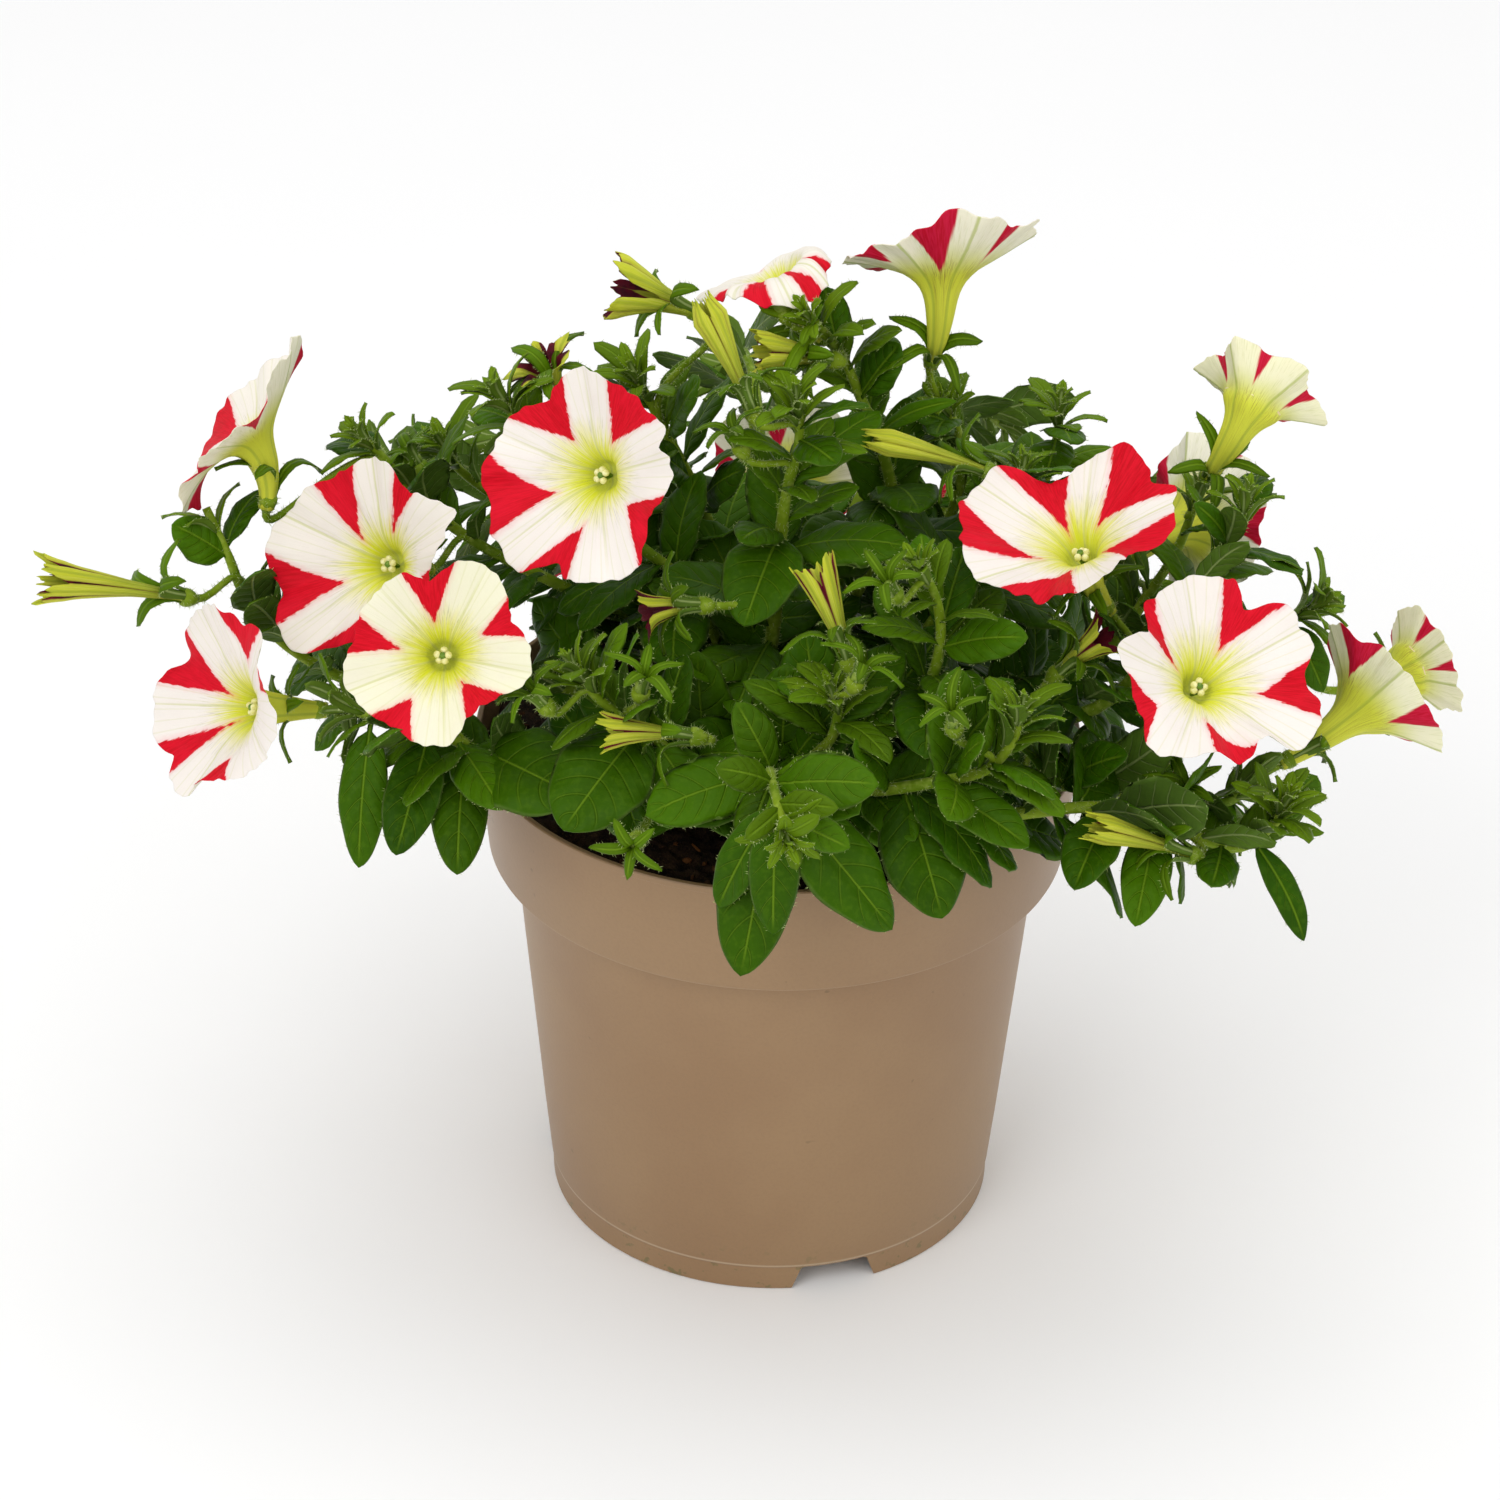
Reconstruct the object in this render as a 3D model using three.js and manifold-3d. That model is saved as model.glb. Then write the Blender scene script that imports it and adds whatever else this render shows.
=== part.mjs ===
// Potted petunia with red and white striped flowers, in a round taupe plastic pot.
// Millimetres, +Z up. The origin is the middle of the pot's foot, on the surface it stands on.
import * as THREE from "three";
import Module from "manifold-3d";

const wasm = await Module();
wasm.setup();

// Pot
const RIM_RADIUS = 95;
const POT_HEIGHT = 166.5;
const COLLAR_Z = 128.1;
const COLLAR_RADIUS = 91.3;
const WALL_TOP_RADIUS = 83.1;
const STEP_Z = 9.2;
const STEP_RADIUS = 71.9;
const FOOT_RADIUS = 71.2;
const POT_WALL = 1.8;
const FOOT_WALL = 2.2;
const FLOOR_TOP_Z = 11;
const POT_SIDES = 40;
const FOOT_FLARE = 0.2;
const STEP_CHAMFER = 0.4;
const ARCH_COUNT = 3;
const ARCH_ANGLE = -72.4;
const ARCH_TOP_WIDTH = 22;
const ARCH_BOTTOM_WIDTH = 28;
const ARCH_HEIGHT = 8.6;
const ARCH_CORNER = 2;
const ARCH_REACH = 20;
const ARCH_INSET = 12;
const DRAIN_COUNT = 6;
const DRAIN_RADIUS = 5;
const DRAIN_RING_RADIUS = 56;
const DRAIN_SIDES = 10;
const DRAIN_CUT = 8;

// Soil
const SOIL_Z = 159;
const SOIL_SIDES = 24;
const SOIL_CROWN = 1.5;
const SOCKET_DEPTH = 9;

// Gaps between pieces that touch
const GAP = 0.45;
const SOIL_GAP = 0.5;
const SHORTEST_EDGE = 0.02;

// Flowers, faded flowers and their calyxes
const LOBES = 5;
const FURLED_SIDES = 7;
const PETAL_SIDES = 15;
const TUBE_RADIUS = 1.5;
const SHORTEST_FUNNEL = 30;
const LONGEST_FUNNEL = 40;
const FUNNEL_BEND = 0.6;
const THROAT_DEPTH = 0.5;
const NECK_RADIUS = 3.6;
const FLARE_PLACE = 0.86;
const FLARE_RADIUS = 9.8;
const THROAT_WALL = 1.4;
const LOBE_ROUNDNESS = 0.6;
const PETAL_THICKNESS = 0.9;
const SINUS_DEPTH = 0.15;
const FACE_RISE = 1.5;
const CALYX_SEAT = 4.2;
const STALK_RADIUS = 1.1;
const STALK_STEP = 26;
const STALK_SET_BACK = 0.5;
const STALK_EASE = 0.4;
const LOWEST_SHOOT = 0.15;
const SEPAL_LENGTH = 13;
const SEPAL_SPREAD = 9.5;
const CUP_RADIUS = 2.9;
const CUP_HEIGHT = 3.6;
const CUP_FLOOR = 2;

// Leaves
const GOLDEN_ANGLE = 137.5;
const PETIOLE_HALF_WIDTH = 0.6;
const LEAF_THICKNESS = 1.2;
const LEAF_SLANT = 52;
const LEAF_SLANT_SPREAD = 14;
const LEAF_SLIMNESS = 0.45;
const LEAF_FULLNESS = 0.12;
const LEAF_ARCH = 0.14;
const LEAF_WEIGHT = 0.12;
const LOW_LEAF_SHARE = 1.35;
const LEAF_SHRINK = 0.8;
const LEAF_TRIES = 9;
const LEAF_TRY_TURN = 40;
const LEAF_CLEARANCE = 4.5;
const RIM_POINT_ANGLE = 4;
const STEM_TIP_RADIUS = 1.3;
const STEM_NECK_HEIGHT = 9;
const STEM_NECK_LEAN = 3;
const STEM_STEP = 28;
const STEM_SIDES = 5;
const TIP_SPREAD = 9;
const TWIG_SPREAD = 0.6;
const TIP_LENGTH = 15;

// Viewpoint: places are given as u to the right and v down in a square picture, and y back from it
const EYE = new THREE.Vector3(0, -1392.1, 1011.7);
const VIEW_PITCH = 31.52;
const VIEW_YAW = -0.36;
const VIEW_ROLL = 1.0;
const FOCAL_PIXELS = 5186;
const PICTURE_MIDDLE = 750;

// Stems: name, root angle and distance on the soil, thickness, leaves from, leaves, leaf length, route
const STEMS = [
  ["far_left", 186, 32, 2.3, 0.32, 4, 30,
    [[650, 700, -15], [520, 688, -20], [390, 692, -25], [300, 655, -25],
      [250, 605, -22], [228, 555, -20], [206, 508, -15]]],
  ["left_front", 212, 34, 2.2, 0.2, 4, 36,
    [[640, 765, -55], [520, 765, -68], [430, 730, -72], [372, 716, -70], [346, 708, -66]]],
  ["left_back", 168, 30, 2.3, 0.22, 4, 34,
    [[650, 630, 5], [560, 585, 5], [480, 545, 3], [420, 500, 3], [385, 460, 5], [360, 434, 5]]],
  ["left_top", 150, 30, 2.2, 0.22, 4, 32,
    [[670, 600, 22], [580, 545, 25], [510, 505, 25], [460, 470, 25], [442, 442, 25]]],
  ["upper_left", 138, 18, 2.3, 0.22, 4, 32,
    [[700, 600, -8], [620, 530, -12], [540, 450, -12], [497, 392, -10]]],
  ["top_left", 112, 24, 2.3, 0.22, 4, 32,
    [[735, 600, 18], [700, 500, 22], [662, 425, 22], [634, 372, 20]]],
  ["centre", 180, 8, 2.7, 0.2, 4, 38,
    [[770, 650, -14], [780, 545, -28], [787, 490, -33], [799, 440, -34], [797, 398, -34]]],
  ["top", 75, 26, 2.6, 0.22, 4, 34,
    [[830, 640, 8], [882, 540, 10], [893, 498, 8], [877, 435, 8],
      [861, 398, 10], [840, 352, 6], [808, 314, -2]]],
  ["top_right", 52, 34, 2.4, 0.26, 4, 30,
    [[885, 630, 26], [940, 540, 28], [962, 475, 26], [957, 430, 24], [943, 403, 22]]],
  ["right_bud", 30, 22, 2.2, 0.22, 4, 32,
    [[895, 670, -8], [955, 590, -14], [1000, 530, -14], [1018, 490, -12], [1024, 466, -10]]],
  ["right_top", 28, 34, 2.3, 0.26, 4, 32,
    [[930, 630, 24], [1000, 545, 26], [1040, 490, 26], [1056, 442, 24], [1060, 404, 24]]],
  ["right_up", 8, 26, 2.4, 0.3, 4, 30,
    [[950, 715, -22], [1050, 690, -26], [1115, 640, -22],
      [1147, 596, -16], [1178, 548, -8], [1201, 486, -4]]],
  ["right_side", 352, 34, 2.4, 0.32, 4, 30,
    [[980, 735, -38], [1100, 706, -48], [1165, 632, -46], [1206, 572, -34],
      [1228, 545, -30], [1243, 522, -28], [1247, 497, -26]]],
  ["right_low", 338, 34, 2.3, 0.22, 4, 32,
    [[960, 785, -58], [1060, 785, -66], [1150, 796, -64], [1220, 803, -58], [1250, 788, -52]]],
  ["far_right", 14, 36, 2.3, 0.32, 4, 28,
    [[980, 690, 14], [1110, 670, 12], [1220, 645, 12], [1290, 620, 12], [1320, 602, 12]]],
  ["right_bottom", 322, 36, 2.3, 0.22, 4, 32,
    [[930, 825, -80], [1030, 812, -88], [1110, 808, -86], [1180, 830, -84],
      [1235, 848, -86], [1272, 826, -88], [1286, 800, -90]]],
  ["front_right", 308, 28, 2.2, 0.26, 4, 28,
    [[860, 790, -84], [930, 783, -102], [985, 770, -108], [1012, 742, -108], [1022, 710, -106]]],
  ["front_centre", 270, 34, 2.3, 0.26, 4, 32,
    [[780, 785, -78], [770, 772, -104], [777, 800, -128], [786, 838, -144]]],
  ["centre_right", 330, 10, 2.3, 0.22, 4, 30,
    [[860, 720, -50], [922, 690, -64], [940, 645, -68], [936, 598, -68], [918, 566, -68]]],
  ["centre_front", 288, 14, 2.2, 0.22, 4, 32,
    [[806, 760, -66], [830, 740, -82], [838, 712, -86], [833, 692, -86]]],
  ["front_left", 236, 26, 2.2, 0.22, 4, 32,
    [[690, 765, -72], [650, 735, -82], [600, 700, -84], [575, 668, -82]]],
  ["behind_left", 128, 36, 2.3, 0.2, 3, 38,
    [[690, 540, 52], [610, 452, 90], [540, 428, 118], [490, 442, 136]]],
  ["behind", 92, 36, 2.3, 0.2, 3, 38,
    [[765, 500, 55], [756, 395, 90], [744, 352, 118], [735, 368, 140]]],
  ["behind_right", 66, 40, 2.3, 0.2, 3, 38,
    [[850, 520, 56], [918, 425, 90], [975, 412, 118], [1012, 432, 138]]],
  ["behind_far_left", 150, 44, 2.2, 0.22, 3, 36,
    [[625, 590, 52], [520, 500, 80], [430, 466, 98], [386, 474, 108]]],
  ["behind_far_right", 36, 44, 2.2, 0.22, 3, 36,
    [[930, 590, 52], [1040, 502, 82], [1112, 482, 100], [1152, 500, 112]]],
];

// Side twigs that end in an empty calyx or a few young leaves: stem, place, way it points, length
const TWIGS = [
  ["top", [790, 322, 2], [-0.5, 0.8, 0.3], 14],
  ["centre", [745, 456, -40], [-0.4, 0.8, 0.4], 13],
  ["centre_front", [852, 690, -92], [0.3, 0.7, 0.6], 16],
  ["front_left", [640, 700, -92], [0.1, 0.7, 0.7], 16],
  ["front_left", [552, 712, -90], [-0.6, 0.6, 0.5], 16],
  ["front_left", [640, 836, -110], [-0.2, -0.3, 0.9], 13],
  ["centre_right", [898, 600, -80], [-0.4, 0.6, 0.7], 14],
  ["left_top", [425, 475, 10], [-0.5, 0.8, 0.3], 13],
  ["right_low", [1186, 806, -70], [-0.1, 0.55, 0.8], 16],
  ["front_right", [956, 735, -112], [-0.2, 0.7, 0.7], 15],
];

// Open flowers: name, middle of the face, way it faces (right, up, to the eye), calyx, radius, turn,
// side that droops, how far it droops, stem that bears it
const FLOWERS = [
  ["left_side", [231, 418, -8], [-0.74, 0.64, 0.2], [266, 507, -14], 31.5, 20, 190, 6, "left_back"],
  ["left_upper", [366, 560, -42], [-0.47, 0.08, 0.88], [429, 570, -16], 31, 40, 0, 0, "left_back"],
  ["left_front", [438, 652, -88], [-0.04, 0.06, 1], [450, 661, -54], 27.5, 22, 0, 0, "left_front"],
  ["left_low", [212, 706, -66], [-0.8, 0.02, 0.6], [326, 710, -48], 31.5, 6, 0, 5, "left_front"],
  ["upper_left", [578, 475, -56], [-0.5, -0.04, 0.86], [642, 476, -28], 32, 46, 0, 0, "upper_left"],
  ["top", [758, 246, 24], [-0.42, 0.9, -0.02], [828, 345, 30], 24, 31, 285, 10, "top"],
  ["top_right", [939, 241, 22], [-0.08, 0.99, -0.08], [930, 374, 18], 32, 51, 180, 3, "top_right"],
  ["right_upper", [1072, 520, -52], [-0.18, 0.66, 0.73], [1112, 618, -42], 34, 38, 0, 0, "right_side"],
  ["right_front", [1218, 668, -82], [0.34, 0.4, 0.85], [1168, 718, -62], 32.5, 68, 0, 0, "right_low"],
  ["right_top", [1262, 385, -2], [0.42, 0.8, -0.42], [1205, 480, -4], 21, 18, 0, 0, "right_up"],
  ["right_behind", [1208, 520, 34], [0.75, 0.1, -0.65], [1135, 560, 20], 27, 0, 0, 0, "right_up"],
  ["far_right", [1384, 688, -28], [0.73, 0.63, -0.27], [1256, 782, -50], 26, 30, 0, 0, "right_low"],
  ["far_right_small", [1425, 661, 44], [0.84, 0.42, -0.34], [1345, 690, 30], 20, 20, 0, 0, "far_right"],
  ["behind_left", [560, 510, 128], [-0.5, 0.35, -0.79], [610, 520, 100], 27, 15, 0, 0, "behind_left"],
  ["behind", [790, 470, 140], [0.1, 0.5, -0.86], [775, 500, 106], 28, 40, 0, 0, "behind"],
  ["behind_right", [985, 545, 134], [0.5, 0.35, -0.79], [940, 550, 104], 27, 5, 0, 0, "behind_right"],
];

// Faded flowers and long buds: name, calyx, tip, widest radius, stem that bears it
const FADED_FLOWERS = [
  ["top_left", [702, 315, 8], [606, 284, 2], 8, "top_left"],
  ["top_middle", [757, 422, -36], [700, 298, -22], 5, "centre"],
  ["top_front", [842, 362, 0], [752, 352, -8], 6, "top"],
  ["upper_left", [560, 400, -2], [538, 358, -4], 8, "upper_left"],
  ["long_bud", [996, 474, -22], [866, 438, -26], 4.6, "right_bud"],
  ["far_left", [194, 599, -34], [36, 580, -60], 5.2, "far_left"],
  ["middle_left", [712, 606, -60], [638, 614, -66], 5, "centre"],
  ["middle", [852, 672, -84], [812, 560, -70], 6.2, "centre_front"],
  ["middle_low", [704, 738, -96], [598, 732, -98], 4.2, "front_left"],
  ["right_middle", [1050, 680, -60], [1112, 632, -60], 5.2, "right_low"],
  ["right_bottom", [1200, 858, -96], [1086, 826, -106], 4.6, "right_bottom"],
];

// Large leaves on the stems: stem, where it grows, tip, width, arch
const STEM_LEAVES = [
  ["left_front", [372, 720], [352, 866, -92], 15, 5],
  ["left_front", [430, 730], [400, 856, -104], 17, 4],
  ["left_front", [470, 745], [452, 874, -106], 17, 4],
  ["left_front", [455, 738], [498, 812, -100], 16, 5],
  ["far_left", [228, 558], [172, 524, -24], 15, 3],
  ["front_left", [655, 740], [698, 812, -100], 18, 4],
  ["front_left", [690, 760], [752, 756, -98], 17, 4],
  ["front_centre", [775, 800], [716, 905, -128], 13, 4],
  ["front_centre", [775, 785], [886, 936, -132], 24, 7],
  ["front_right", [930, 783], [1030, 845, -120], 15, 4],
  ["front_right", [870, 788], [912, 842, -112], 15, 4],
  ["centre_right", [938, 650], [1028, 632, -80], 15, 4],
  ["right_low", [1060, 785], [1128, 752, -84], 15, 4],
  ["right_bottom", [1110, 808], [1068, 888, -118], 17, 4],
  ["right_bottom", [1160, 822], [1134, 926, -116], 15, 4],
  ["right_bottom", [1250, 842], [1308, 938, -98], 14, 9],
  ["right_bottom", [1225, 846], [1216, 888, -112], 13, 3],
  ["right_low", [1200, 803], [1206, 842, -62], 15, 3],
  ["top_left", [670, 440], [700, 378, 2], 15, 2],
  ["top", [878, 440], [956, 396, -4], 10, 8],
  ["top", [882, 540], [905, 396, 30], 17, 3],
  ["right_top", [1056, 440], [1048, 478, 6], 14, 3],
  ["centre", [799, 440], [835, 465, -52], 14, 3],
  ["far_right", [1290, 620], [1322, 692, 6], 12, 3],
  ["right_side", [1228, 545], [1196, 500, -40], 8, 3],
];

// Large leaves that are pieces of their own: name, stem it grows on, where, tip, width, arch
const OWN_LEAVES = [
  ["left_rim", "front_left", [640, 728], [566, 832, -112], 30, 6],
  ["centre_high", "centre", [783, 530], [742, 626, -62], 24, 4],
  ["front_hanging", "front_centre", [772, 775], [752, 978, -136], 24, 9],
  ["rim_right", "front_right", [900, 785], [944, 918, -126], 26, 6],
];

// Outline of the foliage in the picture, which small leaves stay inside
const OUTLINE = [
  [112, 610], [135, 525], [172, 480], [235, 470], [300, 462], [340, 420], [385, 408], [470, 372],
  [600, 338], [700, 305], [770, 275], [850, 278], [905, 330], [950, 366], [964, 424], [990, 455],
  [1012, 440], [1014, 395], [1060, 382], [1112, 410], [1112, 440], [1190, 470], [1245, 452], [1300, 515],
  [1345, 575], [1340, 760], [1328, 810], [1315, 940], [1240, 885], [1130, 928], [1060, 885], [1040, 850],
  [1000, 875], [975, 925], [890, 945], [780, 980], [700, 950], [650, 872], [600, 845], [540, 842],
  [470, 882], [390, 860], [350, 870], [335, 800], [290, 775], [300, 700], [240, 640], [180, 608],
];

// Colours
const POT_COLOUR = 0x94795c;
const SOIL_COLOUR = 0x2b211a;
const STEM_COLOUR = 0x4f8a1e;
const LEAF_COLOUR = 0x2f6b16;
const FLOWER_COLOUR = 0xeee2dc;
const FADED_COLOUR = 0xb3b03c;

const UP = new THREE.Vector3(0, 0, 1);
const LEAF_REFERENCE = new THREE.Vector3(0.31, 0.92, 0.23).normalize();
const LEAF_FACE = new THREE.Vector3(0, -0.55, 0.83).normalize();
const radians = THREE.MathUtils.degToRad;

// Vector helpers that leave their arguments alone
const plus = (a, b, scale = 1) => a.clone().addScaledVector(b, scale);
const minus = (a, b) => a.clone().sub(b);
const crossOf = (a, b) => new THREE.Vector3().crossVectors(a, b);
const unit = (a) => a.clone().normalize();
const acrossTo = (a, along) => unit(plus(a, along, -a.dot(along)));

// The picture's own axes in the part's frame
function viewAxes() {
  const pitch = radians(VIEW_PITCH);
  const yaw = radians(VIEW_YAW);
  const roll = radians(VIEW_ROLL);
  const flat = Math.cos(pitch);
  const forward = new THREE.Vector3(Math.sin(yaw) * flat, Math.cos(yaw) * flat, -Math.sin(pitch));
  const level = unit(crossOf(forward, UP));
  const upright = crossOf(level, forward);
  const right = plus(level.clone().multiplyScalar(Math.cos(roll)), upright, Math.sin(roll));
  const up = plus(upright.clone().multiplyScalar(Math.cos(roll)), level, -Math.sin(roll));
  return { forward, right, up };
}

const VIEW = viewAxes();

// The point that shows at u, v in the picture and lies at the depth y
function at([u, v, y]) {
  const ray = VIEW.forward.clone();
  ray.addScaledVector(VIEW.right, (u - PICTURE_MIDDLE) / FOCAL_PIXELS);
  ray.addScaledVector(VIEW.up, (PICTURE_MIDDLE - v) / FOCAL_PIXELS);
  return plus(EYE, ray, (y - EYE.y) / ray.y);
}

// Where a point shows in the picture
function pictureOf(point) {
  const ray = minus(point, EYE);
  const depth = ray.dot(VIEW.forward);
  const u = PICTURE_MIDDLE + (FOCAL_PIXELS * ray.dot(VIEW.right)) / depth;
  const v = PICTURE_MIDDLE - (FOCAL_PIXELS * ray.dot(VIEW.up)) / depth;
  return [u, v];
}

function isInsideOutline([u, v]) {
  let inside = false;
  OUTLINE.forEach(([u1, v1], i) => {
    const [u0, v0] = OUTLINE[(i + OUTLINE.length - 1) % OUTLINE.length];
    const crosses = v1 > v !== v0 > v && u < ((u0 - u1) * (v - v1)) / (v0 - v1) + u1;
    if (crosses) inside = !inside;
  });
  return inside;
}

// A small repeatable source of numbers from 0 to 1
function randomSource(seed) {
  let state = (seed * 7919 + 12345) % 2147483647;
  return () => {
    state = (state * 16807) % 2147483647;
    return state / 2147483647;
  };
}

// Closed skin over a row of rings, each with the same number of points, where an end may be a single point.
// Every four-cornered face is split along its shorter diagonal, so that the two sides of a thin wall match.
function loft(rings) {
  const positions = [];
  const corner = (i) => new THREE.Vector3().fromArray(positions, i * 3);
  const starts = rings.map((ring) => {
    const start = positions.length / 3;
    ring.forEach((point) => positions.push(point.x, point.y, point.z));
    return start;
  });
  const faces = [];
  for (let i = 0; i + 1 < rings.length; i++) {
    const count = Math.max(rings[i].length, rings[i + 1].length);
    for (let k = 0; k < count; k++) {
      const next = (k + 1) % count;
      const a = starts[i] + (rings[i].length > 1 ? k : 0);
      const b = starts[i] + (rings[i].length > 1 ? next : 0);
      const c = starts[i + 1] + (rings[i + 1].length > 1 ? next : 0);
      const d = starts[i + 1] + (rings[i + 1].length > 1 ? k : 0);
      const isLevel = a !== b && c !== d;
      if (isLevel && corner(b).distanceTo(corner(d)) < corner(a).distanceTo(corner(c))) {
        faces.push([a, b, d], [b, c, d]);
      } else {
        if (a !== b) faces.push([a, b, c]);
        if (c !== d) faces.push([a, c, d]);
      }
    }
  }
  const first = starts[0];
  const last = starts[rings.length - 1];
  for (let k = 1; k + 1 < rings[0].length; k++) faces.push([first, first + k + 1, first + k]);
  for (let k = 1; k + 1 < rings[rings.length - 1].length; k++) faces.push([last, last + k, last + k + 1]);
  return solidOf(positions, faces);
}

// A manifold solid from points and faces, turned to face outwards
function solidOf(positions, faces) {
  let volume = 0;
  const corner = (i) => new THREE.Vector3().fromArray(positions, i * 3);
  faces.forEach(([a, b, c]) => {
    volume += corner(a).dot(crossOf(corner(b), corner(c)));
  });
  const facing = volume < 0 ? faces.map(([a, b, c]) => [a, c, b]) : faces;
  const mesh = new wasm.Mesh({
    numProp: 3,
    vertProperties: new Float32Array(positions),
    triVerts: new Uint32Array(facing.flat()),
  });
  mesh.merge();
  return new wasm.Manifold(mesh);
}

function boxesMeet(a, b) {
  return [0, 1, 2].every((i) => a.min[i] < b.max[i] && b.min[i] < a.max[i]);
}

// A closed three.js geometry as a manifold solid
function solidOfGeometry(geometry) {
  const plain = geometry.index ? geometry.toNonIndexed() : geometry;
  const positions = Array.from(plain.attributes.position.array);
  const faces = [];
  for (let i = 0; i < positions.length / 3; i += 3) faces.push([i, i + 1, i + 2]);
  return solidOf(positions, faces);
}

// Round a point, sides corners at a radius, square to a direction
function ringAround(centre, direction, radius, sides) {
  const first = unit(crossOf(direction, LEAF_REFERENCE));
  const second = crossOf(direction, first);
  return Array.from({ length: sides }, (_, i) => {
    const angle = (2 * Math.PI * i) / sides;
    return plus(plus(centre, first, radius * Math.cos(angle)), second, radius * Math.sin(angle));
  });
}

// A round rod along a curve, its radius going evenly from one end to the other
function rod(curve, startRadius, endRadius, steps, sides, grow) {
  const rings = [];
  for (let i = 0; i <= steps; i++) {
    const t = i / steps;
    const radius = startRadius + (endRadius - startRadius) * t + grow;
    rings.push(ringAround(curve.getPoint(t), curve.getTangent(t), radius, sides));
  }
  if (grow > 0) {
    const tip = plus(curve.getPoint(1), curve.getTangent(1), grow);
    rings.push(ringAround(tip, curve.getTangent(1), endRadius, sides));
  }
  return loft(rings);
}

// Middle line of a leaf, arched towards its upper face
function leafLine({ base, tip, arch, face }) {
  const middle = plus(base.clone().lerp(tip, 0.5), face, arch);
  return new THREE.QuadraticBezierCurve3(base, middle, tip);
}

// A leaf blade: flat above, thick along the midrib below and sharp at the edge
function blade(leaf, shape, grow) {
  const line = leafLine(leaf);
  const rings = shape.map(([t, share]) => {
    const middle = line.getPoint(t);
    const along = line.getTangent(t);
    const face = acrossTo(leaf.face, along);
    const side = crossOf(along, face);
    if (share === 0) return [plus(middle, along, grow)];
    const half = Math.max(PETIOLE_HALF_WIDTH, (share * leaf.width) / 2) + grow;
    const edge = plus(middle, face, LEAF_THICKNESS / 2 + grow);
    const rib = plus(middle, face, -LEAF_THICKNESS / 2 - grow);
    const top = [plus(edge, side, half), plus(edge, side, -half)];
    if (grow === 0) return [...top, rib];
    const under = plus(middle, face, LEAF_THICKNESS / 2 - grow);
    return [...top, plus(under, side, -half), rib, plus(under, side, half)];
  });
  return loft(rings);
}

// Where along a leaf its sections are, and their share of the full width
const FULL_LEAF = [[0, 0.05], [0.16, 0.1], [0.42, 1], [0.72, 0.82], [1, 0]];
const SMALL_LEAF = [[0, 0.05], [0.35, 0.85], [0.68, 0.9], [1, 0]];

// Stems

function stemCurve([, angle, distance, , , , , route]) {
  const outward = new THREE.Vector3(Math.cos(radians(angle)), Math.sin(radians(angle)), 0);
  const root = plus(new THREE.Vector3(0, 0, SOIL_Z - SOCKET_DEPTH), outward, distance);
  const neck = plus(plus(root, UP, SOCKET_DEPTH + STEM_NECK_HEIGHT), outward, STEM_NECK_LEAN);
  return new THREE.CatmullRomCurve3([root, neck, ...route.map(at)], false, "catmullrom", 0.5);
}

const stems = new Map();
STEMS.forEach((row, i) => {
  const [name, , , radius, leafStart, leafCount, leafLength] = row;
  const curve = stemCurve(row);
  const steps = Math.max(6, Math.round(curve.getLength() / STEM_STEP));
  const random = randomSource(i + 1);
  stems.set(name, { name, curve, radius, steps, leafStart, leafCount, leafLength, random });
});

// The middle of a stem, which runs straight from one of its rings to the next
function onStem(stem, t) {
  const step = Math.min(stem.steps - 1, Math.floor(t * stem.steps));
  const start = stem.curve.getPoint(step / stem.steps);
  return start.lerp(stem.curve.getPoint((step + 1) / stem.steps), t * stem.steps - step);
}

// The place along a stem that shows nearest to u, v in the picture
function nearestInPicture(stem, [u, v]) {
  let best = 0;
  let shortest = Infinity;
  for (let i = 0; i <= 60; i++) {
    const t = i / 60;
    const [pu, pv] = pictureOf(onStem(stem, t));
    const distance = Math.hypot(pu - u, pv - v);
    if (distance < shortest) {
      shortest = distance;
      best = t;
    }
  }
  return best;
}

// The place along a stem from which a side shoot to a point leaves at a natural slant
function nearestAlong(stem, point) {
  let best = 0;
  let shortest = Infinity;
  for (let i = 12; i <= 57; i++) {
    const t = i / 60;
    const distance = onStem(stem, t).distanceTo(point);
    if (distance < shortest) {
      shortest = distance;
      best = t;
    }
  }
  return Math.max(LOWEST_SHOOT, best - (STALK_SET_BACK * shortest) / stem.curve.getLength());
}

// Flowers

function axisOf([right, up, toEye]) {
  const axis = VIEW.right.clone().multiplyScalar(right);
  axis.addScaledVector(VIEW.up, up);
  axis.addScaledVector(VIEW.forward, -toEye);
  return axis.normalize();
}

// The calyx sits a tube's length behind the face, on the line towards the place given for it
function flowerOf([name, face, facing, calyx, radius, turn, droopSide, droop, stem]) {
  const middle = at(face);
  const axis = axisOf(facing);
  const wanted = at(calyx);
  const tubeLength = THREE.MathUtils.clamp(wanted.distanceTo(middle), SHORTEST_FUNNEL, LONGEST_FUNNEL);
  const base = plus(middle, unit(minus(wanted, middle)), tubeLength);
  const bend = plus(middle, axis, -FUNNEL_BEND * tubeLength);
  const line = new THREE.QuadraticBezierCurve3(base, bend, middle);
  const first = acrossTo(VIEW.right, axis);
  const second = crossOf(axis, first);
  return { name, middle, axis, line, first, second, radius, turn, droopSide, droop, stem };
}

const flowers = FLOWERS.map(flowerOf);

// Where along a flower's tube it comes out of the bottom of its calyx
function seatOf(line) {
  return CALYX_SEAT / (2 * line.v0.distanceTo(line.v1));
}

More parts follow.
